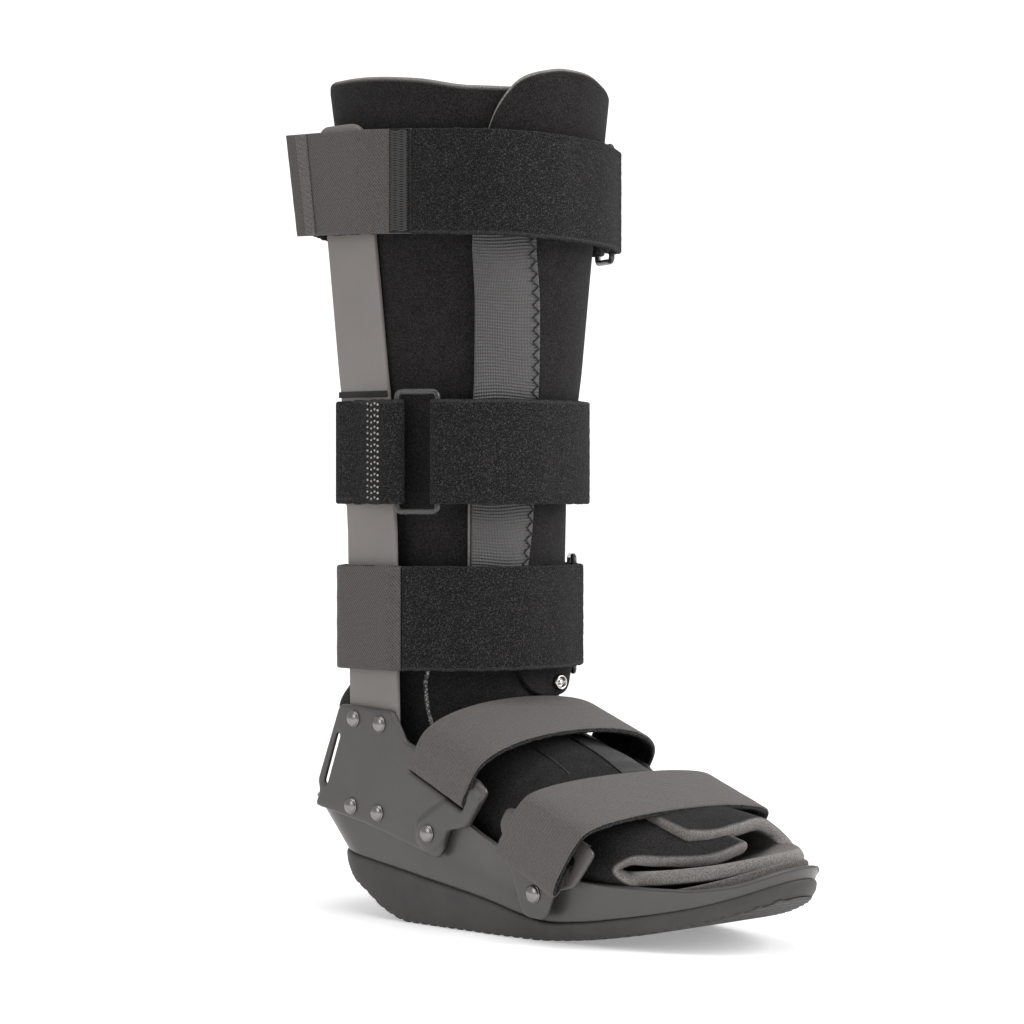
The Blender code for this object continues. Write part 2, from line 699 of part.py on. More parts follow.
def strap_frame(loop, place, out):
    """The point, the direction of growing place and the outward direction of a leg strap's line."""
    line, outward, places, _ = loop
    place = (place - places[0]) % 1.0 + places[0]
    point = np.array([np.interp(place, places, line[:, axis]) for axis in (0, 1)])
    away = np.array([np.interp(place, places, outward[:, axis]) for axis in (0, 1)])
    away /= hypot(*away)
    return point + out * away, np.array((-away[1], away[0])), away


def strap_run(loop, start, end, out_start, out_end):
    """Points of a leg strap from one place to another, closer together where it bends. Its distance out eases
    from one value to the other."""
    length = loop[3]
    fine = np.linspace(start, end, 200)
    frames = [strap_frame(loop, place, 0.0) for place in fine]
    bends = [hypot(*(after[2] - before[2])) for before, after in zip(frames, frames[1:])]
    steps = np.abs(np.diff(fine)) * length / STRAP_SPACING + np.array(bends) / STRAP_BEND
    measure = np.concatenate([[0.0], np.cumsum(steps)])
    count = max(3, round(measure[-1]))
    points = []
    for place in np.interp(np.linspace(0.0, measure[-1], count + 1), measure, fine):
        ease = max(0.0, 1 - abs(place - start) * length / STRAP_LAP_EASE) ** 2
        points.append(strap_frame(loop, place, out_end + (out_start - out_end) * ease)[0])
    return points


def bar_bend(bar, tangent, outward, side, first):
    """Half a turn round a buckle's bar, on the side of the opening. first is -1 from under it, 1 from over it."""
    radius = BUCKLE_ROD / 2 + GAP + LEG_STRAP_THICKNESS / 2
    bend_steps = 5
    points = []
    for step in range(bend_steps + 1):
        turn = pi * step / bend_steps
        points.append(bar + radius * (first * cos(turn) * outward + side * sin(turn) * tangent))
    return points


UNDER_OUT = LEG_STRAP_THICKNESS / 2
BAR_OUT = LEG_STRAP_THICKNESS + GAP + BUCKLE_ROD / 2
OVER_OUT = 1.5 * LEG_STRAP_THICKNESS + GAP


def make_leg_strap(name, z, ring_place, tab_place, end_place, hand, tail, tab_name):
    """A leg strap and its buckle. From a sewn loop on one bar it goes round the leg, through the buckle and
    back over itself to its hook tab. hand is 1 where the strap runs back towards -X, and tail is the length of
    a loose straight end."""
    loop = taut_line(z, hand)
    length = loop[3]
    centre, tangent, outward = strap_frame(loop, ring_place, BAR_OUT)
    reach = BUCKLE_WIDTH / 2 - BUCKLE_ROD / 2
    fixed_bar, pull_bar = centre + reach * tangent, centre - reach * tangent
    bend = BUCKLE_ROD / 2 + GAP + LEG_STRAP_THICKNESS / 2
    clear = (reach + BUCKLE_CLEARANCE) / length
    over = BAR_OUT + bend + BAR_EASE
    fixed_place, pull_place = ring_place + clear, ring_place - clear
    flat = strap_run(loop, fixed_place, fixed_place + STRAP_RETURN / length, over, OVER_OUT)[::-1]
    flat += bar_bend(fixed_bar, tangent, outward, -1, 1)
    flat += strap_run(loop, fixed_place, 1.0 + pull_place, UNDER_OUT, UNDER_OUT)
    flat += bar_bend(pull_bar, tangent, outward, 1, -1)
    flat += strap_run(loop, pull_place, tab_place, over, OVER_OUT)
    tab_start = tab_place - 2 * GAP / length
    tab = strap_run(loop, tab_start, end_place, OVER_OUT, OVER_OUT)
    if tail:
        last, direction, _ = strap_frame(loop, end_place, OVER_OUT)
        tail_steps = 4
        tab += [last - direction * tail * step / tail_steps for step in range(1, tail_steps + 1)]
    for label, points, material in ((name, flat, PILE), (tab_name, tab, WEBBING)):
        if not label:
            continue
        path = [(hand * x, y, z) for x, y in points]
        ribbon(label, path, [(0.0, 0.0, 1.0)] * len(path), LEG_STRAP_WIDTH, LEG_STRAP_THICKNESS, material)
    half = LEG_STRAP_WIDTH / 2 + BUCKLE_MARGIN - BUCKLE_ROD / 2
    corners = [(-reach, -half, BUCKLE_CORNER), (reach, -half, BUCKLE_CORNER), (reach, half, BUCKLE_CORNER),
               (-reach, half, BUCKLE_CORNER)]
    rod = []
    for across, height in rounded_outline(corners):
        place = centre + across * tangent
        rod.append((hand * place[0], place[1], z + height))
    make_rod_loop(name.replace("strap", "buckle"), rod)


def make_rod_loop(name, loop):
    """A closed loop of round rod."""
    loop = np.array(loop)
    along = np.roll(loop, -1, axis=0) - np.roll(loop, 1, axis=0)
    along /= np.linalg.norm(along, axis=1)[:, None]
    plane = np.cross(loop[1] - loop[0], loop[8] - loop[0])
    plane /= np.linalg.norm(plane)
    sides = 6
    rings = []
    for point, direction in zip(loop, along):
        beside = np.cross(direction, plane)
        rings.append([tuple(point + BUCKLE_ROD / 2 * (cos(2 * pi * side / sides) * beside
                                                     + sin(2 * pi * side / sides) * plane))
                      for side in range(sides)])
    rings.append(rings[0])
    add_mesh(name, sum(rings, []), skin(rings, True), BUCKLE_PLASTIC)


def build():
    """Make every piece."""
    make_outsole()
    make_shell()
    make_insole()
    make_liner()
    for side, label in ((NEAR, "near"), (FAR, "far")):
        make_bracket(side, label)
        make_upright(side, label)
        make_forefoot_ring(side, label)
        for number, centre in enumerate(UPRIGHT_RIVETS + SHELL_RIVETS, 1):
            make_rivet("bracket_rivet_%s_%d" % (label, number), centre, PLATE_OUTER_X, RIVET_HEAD_RADIUS, side)
        make_rivet("instep_rivet_" + label, INSTEP_PIVOT, PLATE_OUTER_X, RING_RIVET_HEAD_RADIUS, side)
        make_rivet("forefoot_rivet_" + label, FOREFOOT_PIVOT, RING_OUTER_X, RING_RIVET_HEAD_RADIUS, side)
    make_foot_strap("instep_strap", INSTEP_PIVOT, INSTEP_TOP, PLATE_OUTER_X, PLATE_THICKNESS, 0.0, WEBBING)
    make_foot_strap("forefoot_strap", FOREFOOT_PIVOT, FOREFOOT_TOP, RING_OUTER_X, RING_THICKNESS,
                    FOOT_STRAP_DROP, WEBBING)
    flap_out = FLAP_GAP + FLAP_THICKNESS / 2
    leg_sheet("front_flap", FLAP_LEFT_TURN, FLAP_RIGHT_TURN, LEG_TOP_Z - FLAP_DROP, FLAP_PEAK, flap_out,
              FLAP_THICKNESS, LINER_FOAM, 14)
    mesh_out = FLAP_GAP + FLAP_THICKNESS + GAP + MESH_THICKNESS / 2
    leg_sheet("mesh_panel", FLAP_LEFT_TURN, MESH_RIGHT_TURN, LEG_TOP_Z - MESH_DROP, 0.0, mesh_out,
              MESH_THICKNESS, MESH_FABRIC, 4)
    for name, (z, hand, buckle, tab, end, tail, tab_name) in LEG_STRAPS.items():
        make_leg_strap(name, z, buckle, tab, end, hand, tail, tab_name)


clear_scene()
BOOT = new_collection("walking_boot")
RUBBER = new_material("outsole_rubber", (0.045, 0.042, 0.042), 0.75)
SHELL_PLASTIC = new_material("shell_plastic", (0.060, 0.055, 0.053), 0.40)
INSOLE_FOAM = new_material("insole_foam", (0.110, 0.105, 0.100), 0.95)
LINER_FOAM = new_material("liner_foam", (0.012, 0.011, 0.011), 0.98)
UPRIGHT_METAL = new_material("upright_metal", (0.150, 0.138, 0.132), 0.55)
RIVET_METAL = new_material("rivet_metal", (0.090, 0.085, 0.080), 0.25, 1.0)
WEBBING = new_material("webbing", (0.090, 0.082, 0.080), 0.90)
PILE = new_material("strap_pile", (0.015, 0.014, 0.014), 1.00)
MESH_FABRIC = new_material("mesh_fabric", (0.075, 0.070, 0.070), 0.80)
BUCKLE_PLASTIC = new_material("buckle_plastic", (0.120, 0.115, 0.112), 0.20)
build()
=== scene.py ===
"""Looks of a medical walking boot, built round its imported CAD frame. Metres, +Z up, toe towards -Y."""
from math import pi

import bmesh
import bpy
import numpy as np
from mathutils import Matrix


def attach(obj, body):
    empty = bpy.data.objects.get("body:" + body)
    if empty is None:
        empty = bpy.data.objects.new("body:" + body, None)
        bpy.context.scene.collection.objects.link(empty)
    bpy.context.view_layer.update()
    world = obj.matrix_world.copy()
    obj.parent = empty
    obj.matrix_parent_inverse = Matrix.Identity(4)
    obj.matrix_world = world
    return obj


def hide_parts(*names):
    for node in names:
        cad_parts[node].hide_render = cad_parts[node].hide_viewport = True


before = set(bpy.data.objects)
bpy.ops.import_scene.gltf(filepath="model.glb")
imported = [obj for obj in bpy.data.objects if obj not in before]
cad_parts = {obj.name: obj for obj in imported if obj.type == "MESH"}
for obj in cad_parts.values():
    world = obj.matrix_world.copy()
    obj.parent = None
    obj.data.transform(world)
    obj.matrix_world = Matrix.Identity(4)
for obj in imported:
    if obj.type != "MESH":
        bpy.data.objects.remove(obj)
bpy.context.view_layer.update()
rng = np.random.default_rng(7)

# Camera, floor and lights. The photograph looks level at the boot's near front corner, 45 degrees from the
# toe, against white. A curved white sweep stands for the floor and the backdrop, and large soft lights fill
# the studio.
VIEW_DISTANCE = 1.5
VIEW_HEIGHT = 0.208
VIEW_SIDE_STEP = 0.016
VIEW_FOCAL = 105.47
HORIZON_SHIFT = -17 / 1024
TURN_TO_PHOTO = -pi / 4
BACKWARDS = np.array((np.sin(TURN_TO_PHOTO), -np.cos(TURN_TO_PHOTO), 0.0))
SIDEWAYS = np.array((np.cos(TURN_TO_PHOTO), np.sin(TURN_TO_PHOTO), 0.0))
BOOT_MIDDLE = np.array((0.0, 0.055, 0.0))

lens = bpy.data.cameras.new("photo_camera")
lens.sensor_width = 36.0
lens.lens = VIEW_FOCAL
lens.shift_y = HORIZON_SHIFT
camera = bpy.data.objects.new("photo_camera", lens)
camera.location = BOOT_MIDDLE + BACKWARDS * VIEW_DISTANCE + SIDEWAYS * VIEW_SIDE_STEP + (0, 0, VIEW_HEIGHT)
camera.rotation_euler = (pi / 2, 0.0, TURN_TO_PHOTO)
bpy.context.collection.objects.link(camera)
bpy.context.scene.camera = camera

FLOOR_HALF = 3.0
SWEEP_RADIUS = 0.9
SWEEP_HEIGHT = 2.2
FLOOR_COLOUR = (0.86, 0.86, 0.86)
FLOOR_GLOW = 0.30
STUDIO_GLOW = 0.62


def running(steps):
    """The total of the steps so far, from 0."""
    return np.concatenate([[0.0], np.cumsum(steps)])


def surface(name, grid, around=False, along=False):
    """A mesh through a grid of points, one four-sided face between each four neighbours. around joins the
    last column to the first, along the last row to the first. Its UV map holds lengths in metres: u is the
    mean length run along the columns, v the mean length run along the rows."""
    grid = np.asarray(grid, float)
    rows, columns = grid.shape[:2]
    index = np.arange(rows * columns).reshape(rows, columns)
    full = grid
    if around:
        index = np.hstack([index, index[:, :1]])
        full = np.concatenate([full, full[:, :1]], axis=1)
    if along:
        index = np.vstack([index, index[:1]])
        full = np.concatenate([full, full[:1]], axis=0)
    faces = np.stack([index[:-1, :-1], index[:-1, 1:], index[1:, 1:], index[1:, :-1]], axis=-1).reshape(-1, 4)
    mesh = bpy.data.meshes.new(name)
    mesh.vertices.add(rows * columns)
    mesh.vertices.foreach_set("co", grid.reshape(-1).astype(np.float32))
    mesh.loops.add(faces.size)
    mesh.loops.foreach_set("vertex_index", faces.reshape(-1).astype(np.int32))
    mesh.polygons.add(len(faces))
    mesh.polygons.foreach_set("loop_start", np.arange(0, faces.size, 4, dtype=np.int32))
    mesh.update(calc_edges=True)
    u = running(np.linalg.norm(np.diff(full, axis=1), axis=2).mean(axis=0))
    v = running(np.linalg.norm(np.diff(full, axis=0), axis=2).mean(axis=1))
    spread = np.stack(np.meshgrid(u, v), axis=-1)
    corners = np.stack([spread[:-1, :-1], spread[:-1, 1:], spread[1:, 1:], spread[1:, :-1]], axis=2)
    mesh.uv_layers.new(name="lengths").data.foreach_set("uv", corners.reshape(-1).astype(np.float32))
    mesh.polygons.foreach_set("use_smooth", np.ones(len(faces), bool))
    piece = bpy.data.objects.new(name, mesh)
    bpy.context.collection.objects.link(piece)
    return piece


def node(material, kind, settings=None, **inputs):
    """Add a shader node. Each input is named with underscores for spaces, or slot0, slot1, slot2 by place.
    A socket given for it is linked, and anything else is its value. Returns the node."""
    tree = material.node_tree
    made = tree.nodes.new("ShaderNode" + kind)
    for key, value in (settings or {}).items():
        setattr(made, key, value)
    for key, value in inputs.items():
        socket = made.inputs[int(key[4:])] if key.startswith("slot") else made.inputs[key.replace("_", " ")]
        if isinstance(value, bpy.types.NodeSocket):
            tree.links.new(value, socket)
        else:
            socket.default_value = value
    return made


def finish(name, colour, roughness, **sockets):
    """A Principled material of one colour. Returns it and its shader node."""
    material = bpy.data.materials.new(name)
    material.use_nodes = True
    shader = material.node_tree.nodes["Principled BSDF"]
    shader.inputs["Base Color"].default_value = (*colour, 1.0)
    shader.inputs["Roughness"].default_value = roughness
    for key, value in sockets.items():
        shader.inputs[key.replace("_", " ")].default_value = value
    return material, shader


bend = np.linspace(0, pi / 2, 24)
sweep_run = np.concatenate([[-FLOOR_HALF], FLOOR_HALF - SWEEP_RADIUS + SWEEP_RADIUS * np.sin(bend),
                            [FLOOR_HALF]])
sweep_rise = np.concatenate([[0.0], SWEEP_RADIUS * (1 - np.cos(bend)), [SWEEP_HEIGHT]])
sweep_across = np.linspace(-FLOOR_HALF, FLOOR_HALF, 3)
sweep = (-BACKWARDS[None, None] * sweep_run[:, None, None]
         + SIDEWAYS[None, None] * sweep_across[None, :, None]
         + np.array((0, 0, 1.0)) * sweep_rise[:, None, None])
floor = surface("floor", sweep[:, ::-1])
floor_finish, floor_shader = finish("white_sweep", FLOOR_COLOUR, 0.9, Emission_Strength=FLOOR_GLOW)
floor_shader.inputs["Emission Color"].default_value = (1.0, 1.0, 1.0, 1.0)
floor.data.materials.append(floor_finish)

world = bpy.data.worlds.new("studio")
world.use_nodes = True
world.node_tree.nodes["Background"].inputs["Color"].default_value = (1.0, 1.0, 1.0, 1.0)
world.node_tree.nodes["Background"].inputs["Strength"].default_value = STUDIO_GLOW
bpy.context.scene.world = world
bpy.context.scene.view_settings.view_transform = "Standard"


def soft_light(name, place, aim, size, power):
    """A square area light at a place, turned to look at a point."""
    light = bpy.data.lights.new(name, "AREA")
    light.size = size
    light.energy = power
    lamp = bpy.data.objects.new(name, light)
    lamp.location = place
    away = np.subtract(place, aim)
    lamp.rotation_euler = (np.arctan2(np.hypot(away[0], away[1]), away[2]), 0.0,
                           np.arctan2(away[1], away[0]) + pi / 2)
    bpy.context.collection.objects.link(lamp)


AIM = (0.0, 0.02, 0.20)
soft_light("right_softbox", tuple(BACKWARDS * 0.5 + SIDEWAYS * 1.7 + (0, 0, 1.1)), AIM, 1.3, 36)
soft_light("left_softbox", tuple(BACKWARDS * 1.3 - SIDEWAYS * 1.5 + (0, 0, 0.9)), AIM, 1.2, 9)
soft_light("top_softbox", tuple(BACKWARDS * 0.2 + (0, 0, 1.9)), AIM, 1.4, 20)

# Outsole. A thick black rubber rocker, glued under the shell. It is flat in the middle, rises to the heel's
# edge and springs a long way to the toe, with low ribs across the tread that show as fine teeth along its
# lower edge.
SOLE_HALF_WIDTH = 0.057
SOLE_HEEL_Y = 0.132
SOLE_TOE_Y = -0.156
SOLE_NOSE_Y = 0.005
HEEL_CORNER = 0.030
STERN_RAKE = 0.021
STERN_Y = SOLE_HEEL_Y - STERN_RAKE
SOLE_HEIGHT = 0.058
SHELL_DRAFT = 0.0022
TREAD_INSET = 0.0032
TREAD_EDGE = 0.0016
SEAM_EDGE = 0.0014
GAP = 0.0003
RIB_PITCH = 0.0062
RIB_DEPTH = 0.0009
RIB_FLATNESS = 1.6
SOLE_BELLY = 0.0006
#                      place   tread  seam   rim
SOLE_LINES = np.array(((0.000, 0.520, 0.640, 1.000),
                       (0.075, 0.410, 0.570, 1.000),
                       (0.165, 0.240, 0.520, 1.000),
                       (0.226, 0.070, 0.476, 1.000),
                       (0.280, 0.000, 0.437, 1.000),
                       (0.340, 0.000, 0.392, 1.000),
                       (0.425, 0.000, 0.330, 0.930),
                       (0.476, 0.000, 0.288, 0.820),
                       (0.572, 0.000, 0.190, 0.630),
                       (0.615, 0.012, 0.170, 0.570),
                       (0.667, 0.036, 0.190, 0.534),
                       (0.753, 0.100, 0.255, 0.512),
                       (0.858, 0.215, 0.360, 0.514),
                       (0.927, 0.330, 0.465, 0.560),
                       (1.000, 0.480, 0.620, 0.707)))
TREAD, SEAM, RIM = 1, 2, 3


def smooth_read(table, column, places):
    """Read a table's column at places between its rows: cubic pieces whose slope at a row is the harmonic
    mean of the slopes beside it, and none where they differ in sign, so the curve never overshoots."""
    xs, ys = table[:, 0], table[:, column]
    steps = np.diff(xs)
    slopes = np.diff(ys) / steps
    product = slopes[:-1] * slopes[1:]
    total = np.where(product > 0, slopes[:-1] + slopes[1:], 1.0)
    inner = np.where(product > 0, 2 * product / total, 0.0)
    tangents = np.concatenate([slopes[:1], inner, slopes[-1:]])
    places = np.clip(places, xs[0], xs[-1])
    cell = np.clip(np.searchsorted(xs, places) - 1, 0, len(steps) - 1)
    s = (places - xs[cell]) / steps[cell]
    return ((1 + 2 * s) * (1 - s) ** 2 * ys[cell] + s * (1 - s) ** 2 * steps[cell] * tangents[cell]
            + s ** 2 * (3 - 2 * s) * ys[cell + 1] + s ** 2 * (s - 1) * steps[cell] * tangents[cell + 1])


def sole_height(line, y):
    """Height of the tread, seam or rim above the ground at y, a share of SOLE_HEIGHT read from the table."""
    return SOLE_HEIGHT * smooth_read(SOLE_LINES, line, (SOLE_HEEL_Y - y) / (SOLE_HEEL_Y - SOLE_TOE_Y))


def sole_outline(inset, heel_y, count):
    """The sole's plan as one closed loop of points, evenly spaced: a straight heel, a quarter circle at each
    heel corner, straight sides, and a half ellipse round the toe, all moved in by the inset."""
    half_width, corner, heel_y = SOLE_HALF_WIDTH - inset, HEEL_CORNER - inset, heel_y - inset
    nose = SOLE_NOSE_Y - SOLE_TOE_Y - inset
    turn = np.linspace(0, pi / 2, 200)
    x = np.concatenate([[0.0], half_width - corner + corner * np.sin(turn), half_width * np.cos(turn)])
    y = np.concatenate([[heel_y], heel_y - corner * (1 - np.cos(turn)), SOLE_NOSE_Y - nose * np.sin(turn)])
    way = running(np.hypot(np.diff(x), np.diff(y)))
    even = np.linspace(0.0, way[-1], count // 2 + 1)
    half = np.stack([np.interp(even, way, x), np.interp(even, way, y)], axis=1)
    return np.concatenate([half * (-1, 1), half[-2:0:-1]])


SOLE_COLUMNS = 640
corner_turn = np.linspace(0, pi / 2, 5)
wall_share = np.linspace(0.06, 0.94, 8)
tread_plan = sole_outline(TREAD_INSET, STERN_Y, SOLE_COLUMNS)
seam_plan = sole_outline(SHELL_DRAFT / 2, STERN_Y, SOLE_COLUMNS)
tread_z = sole_height(TREAD, tread_plan[:, 1])
seam_z = sole_height(SEAM, seam_plan[:, 1]) - GAP


def unit(arrows):
    """Arrows of length 1 in the same directions."""
    return arrows / np.linalg.norm(arrows, axis=-1, keepdims=True)


def towards_spine(plan, share):
    """Points of a plan drawn in towards the sole's long middle line: x times the share, y the same."""
    return plan * (share, 1.0)


def weld(piece):
    """Join the points of a mesh that lie on one another, close the small loops left at its ends and poles,
    and turn its faces outwards."""
    shape = bmesh.new()
    shape.from_mesh(piece.data)
    bmesh.ops.remove_doubles(shape, verts=shape.verts, dist=1e-6)
    bmesh.ops.dissolve_degenerate(shape, edges=shape.edges, dist=1e-7)
    bmesh.ops.holes_fill(shape, edges=shape.edges, sides=48)
    bmesh.ops.recalc_face_normals(shape, faces=shape.faces)
    if shape.calc_volume(signed=True) < 0:
        bmesh.ops.reverse_faces(shape, faces=shape.faces)
    shape.to_mesh(piece.data)
    shape.free()


rib = RIB_DEPTH * np.clip(np.cos(2 * pi * tread_plan[:, 1] / RIB_PITCH) * RIB_FLATNESS, 0, 1)
layers = []
for share in (0.0, 0.3, 0.6, 0.8, 0.93):
    plan = towards_spine(tread_plan, share)
    layers.append(np.column_stack([plan, tread_z + rib]))
edge_in = sole_outline(TREAD_INSET + TREAD_EDGE, STERN_Y, SOLE_COLUMNS)
for turn in corner_turn:
    plan = edge_in + (tread_plan - edge_in) * np.sin(turn)
    layers.append(np.column_stack([plan,
                                   tread_z + TREAD_EDGE * (1 - np.cos(turn)) + rib * np.cos(turn) ** 0.5]))
outwards = unit(seam_plan - edge_in)
for share in wall_share:
    plan = tread_plan + (seam_plan - tread_plan) * share + outwards * SOLE_BELLY * np.sin(pi * share)
    low, high = tread_z + TREAD_EDGE, seam_z - SEAM_EDGE
    layers.append(np.column_stack([plan, low + (high - low) * share]))
seam_in = sole_outline(SHELL_DRAFT / 2 + SEAM_EDGE, STERN_Y, SOLE_COLUMNS)
for turn in corner_turn:
    plan = seam_in + (seam_plan - seam_in) * np.cos(turn)
    layers.append(np.column_stack([plan, seam_z - SEAM_EDGE * (1 - np.sin(turn))]))
for share in (0.7, 0.0):
    layers.append(np.column_stack([towards_spine(seam_in, share), seam_z]))
outsole = surface("outsole_rocker", np.array(layers), around=True)
weld(outsole)

RUBBER_COLOUR = (0.031, 0.029, 0.028)
RUBBER_PALE = (0.046, 0.042, 0.041)


def tint(material, shader, colour):
    """Send a colour to the shader."""
    material.node_tree.links.new(colour, shader.inputs["Base Color"])


def noise(material, where, scale, **settings):
    """Cloudy noise at places, its grain finer as scale grows."""
    return node(material, "TexNoise", Vector=where, Scale=scale, **settings).outputs["Fac"]


def two_tones(material, amount, low, high, dark, pale):
    """A colour that runs straight from dark, where an amount is low, to pale, where it is high."""
    tones = node(material, "ValToRGB", Fac=amount)
    for stop, place, colour in zip(tones.color_ramp.elements, (low, high), (dark, pale)):
        stop.position = place
        stop.color = (*colour, 1.0)
    return tones.outputs["Color"]


def mottle(material, shader, dark, pale, scale, roughness_swing, roughness):
    """Colour that drifts between two tones by noise on the piece's own coordinates, and roughness that drifts
    with it. Returns the coordinates."""
    where = node(material, "TexCoord").outputs["Object"]
    cloud = noise(material, where, scale, Detail=5.0, Roughness=0.6)
    tint(material, shader, two_tones(material, cloud, 0.35, 0.7, dark, pale))
    rough = node(material, "MapRange", Value=cloud, To_Min=roughness - roughness_swing,
                 To_Max=roughness + roughness_swing)
    material.node_tree.links.new(rough.outputs["Result"], shader.inputs["Roughness"])
    return where


def bump(material, shader, height, depth, strength=1.0):
    """Relief from a height between 0 and 1, depth metres tall."""
    relief = node(material, "Bump", Height=height, Distance=depth, Strength=strength)
    material.node_tree.links.new(relief.outputs["Normal"], shader.inputs["Normal"])


rubber, rubber_shader = finish("outsole_rubber", RUBBER_COLOUR, 0.62, Specular_IOR_Level=0.4)
where = mottle(rubber, rubber_shader, RUBBER_COLOUR, RUBBER_PALE, 55.0, roughness_swing=0.08, roughness=0.62)
grain = noise(rubber, where, 900.0, Detail=3.0)
bump(rubber, rubber_shader, grain, 0.00025, 0.6)
outsole.data.materials.append(rubber)
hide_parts("outsole")
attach(outsole, "root")

# Shell. A tray moulded in one piece from stiff grey-black plastic. It stands on the outsole, leans out a
# little towards a rounded rim and has a broad shallow channel along each side ahead of the bracket.
SHELL_WALL = 0.0024
CHANNEL_DEPTH = 0.0009
CHANNEL_MIDDLE_Y = -0.012
CHANNEL_LENGTH = 0.050
CHANNEL_LEVEL = 0.45
CHANNEL_SPREAD = 0.22
SHELL_COLOUR = (0.046, 0.042, 0.040)
SHELL_PALE = (0.058, 0.053, 0.050)


def shell_level(low, high, share):
    """Plan points between two plans, at a share of the way up."""
    return low + (high - low) * share


seam_low = sole_outline(SHELL_DRAFT, STERN_Y, SOLE_COLUMNS)
rim_high = sole_outline(0.0, SOLE_HEEL_Y, SOLE_COLUMNS)
seam_low_in = sole_outline(SHELL_DRAFT + SHELL_WALL, STERN_Y, SOLE_COLUMNS)
rim_high_in = sole_outline(SHELL_WALL, SOLE_HEEL_Y, SOLE_COLUMNS)
foot_z, rim_z = sole_height(SEAM, seam_low[:, 1]), sole_height(RIM, rim_high[:, 1])
layers = [np.column_stack([towards_spine(seam_low, share), foot_z]) for share in (0.0, 0.5, 0.9, 0.99)]
for share in np.linspace(0.0, 0.985, 28):
    plan = shell_level(seam_low, rim_high, share)
    channel = CHANNEL_DEPTH * np.exp(-((plan[:, 1] - CHANNEL_MIDDLE_Y) / CHANNEL_LENGTH) ** 4
                                     - ((share - CHANNEL_LEVEL) / CHANNEL_SPREAD) ** 2)
    towards = -unit(plan)
    layers.append(np.column_stack([plan + towards * (1, 0) * channel[:, None],
                                   foot_z + (rim_z - foot_z) * share]))
rim_drop = SHELL_WALL / 2
for turn in np.linspace(0, pi, 7):
    plan = (rim_high + rim_high_in) / 2 + (rim_high - rim_high_in) / 2 * np.cos(turn)
    layers.append(np.column_stack([plan, rim_z - rim_drop + rim_drop * np.sin(turn)]))
inner_foot = sole_height(SEAM, seam_low_in[:, 1]) + SHELL_WALL
for share in np.linspace(0.97, 0.0, 12):
    plan = shell_level(seam_low_in, rim_high_in, share)
    layers.append(np.column_stack([plan, inner_foot + (rim_z - inner_foot) * share]))
layers += [np.column_stack([towards_spine(seam_low_in, share), inner_foot]) for share in (0.9, 0.5, 0.0)]
shell = surface("shell_tray", np.array(layers), around=True)
weld(shell)
shell_finish, shell_shader = finish("shell_plastic", SHELL_COLOUR, 0.36, Specular_IOR_Level=0.55)
where = mottle(shell_finish, shell_shader, SHELL_COLOUR, SHELL_PALE, 22.0, roughness_swing=0.06,
               roughness=0.36)
grain = noise(shell_finish, where, 1400.0, Detail=2.0)
bump(shell_finish, shell_shader, grain, 0.00008, 0.5)
shell.data.materials.append(shell_finish)
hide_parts("sole_shell")
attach(shell, "root")

# Insole. A die-cut footbed of dense grey foam that lies loose on the shell's floor. It thickens towards the
# toe, where its speckled cut edge shows above the rim.
INSOLE_THICKNESS = 0.0045
INSOLE_MARGIN = 0.0006
INSOLE_EDGE = 0.0009
TOE_LIFT = 0.0026
TOE_LIFT_START = 0.035
TOE_LIFT_RUN = 0.06
INSOLE_COLOUR = (0.115, 0.106, 0.101)


def floor_height(y):
    """Top of the shell's floor."""
    return sole_height(SEAM, y) + SHELL_WALL


def footbed_height(y):
    """Top of the insole."""
    toe = np.clip((-y - TOE_LIFT_START) / TOE_LIFT_RUN, 0, 1)
    return floor_height(y) + GAP + INSOLE_THICKNESS + TOE_LIFT * toe * toe * (3 - 2 * toe)


def cut_foam(material, where, colour, darkest):
    """Foam speckled light and dark where its cells are cut. Returns its colour and the noise of its cells."""
    cells = noise(material, where, 1500.0, Detail=4.0, Roughness=0.75)
    dark, pale = np.multiply(colour, darkest), np.multiply(colour, 1.45)
    return two_tones(material, cells, 0.38, 0.62, dark, pale), cells


def foam(name, colour):
    """Open-celled foam with a rough cut face."""
    material, shader = finish(name, colour, 0.95, Specular_IOR_Level=0.15)
    tone, cells = cut_foam(material, node(material, "TexCoord").outputs["Object"], colour, 0.55)
    tint(material, shader, tone)
    bump(material, shader, cells, 0.0006, 0.7)
    return material


margin = SHELL_WALL + SHELL_DRAFT + INSOLE_MARGIN
bed_plan = sole_outline(margin, STERN_Y, SOLE_COLUMNS)
bed_in = sole_outline(margin + INSOLE_EDGE, STERN_Y, SOLE_COLUMNS)
bed_low, bed_high = floor_height(bed_plan[:, 1]) + GAP, footbed_height(bed_plan[:, 1])
layers = [np.column_stack([towards_spine(bed_in, share), bed_low]) for share in (0.0, 0.6)]
layers += [np.column_stack([bed_in + (bed_plan - bed_in) * np.sin(turn),
                            bed_low + INSOLE_EDGE * (1 - np.cos(turn))])
           for turn in corner_turn]
layers += [np.column_stack([bed_in + (bed_plan - bed_in) * np.cos(turn),
                            bed_high - INSOLE_EDGE * (1 - np.sin(turn))])
           for turn in corner_turn]
layers += [np.column_stack([towards_spine(bed_in, share), bed_high]) for share in (0.8, 0.4, 0.0)]
insole = surface("insole_footbed", np.array(layers), around=True)
weld(insole)
insole.data.materials.append(foam("insole_foam", INSOLE_COLOUR))
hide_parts("insole")
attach(insole, "root")

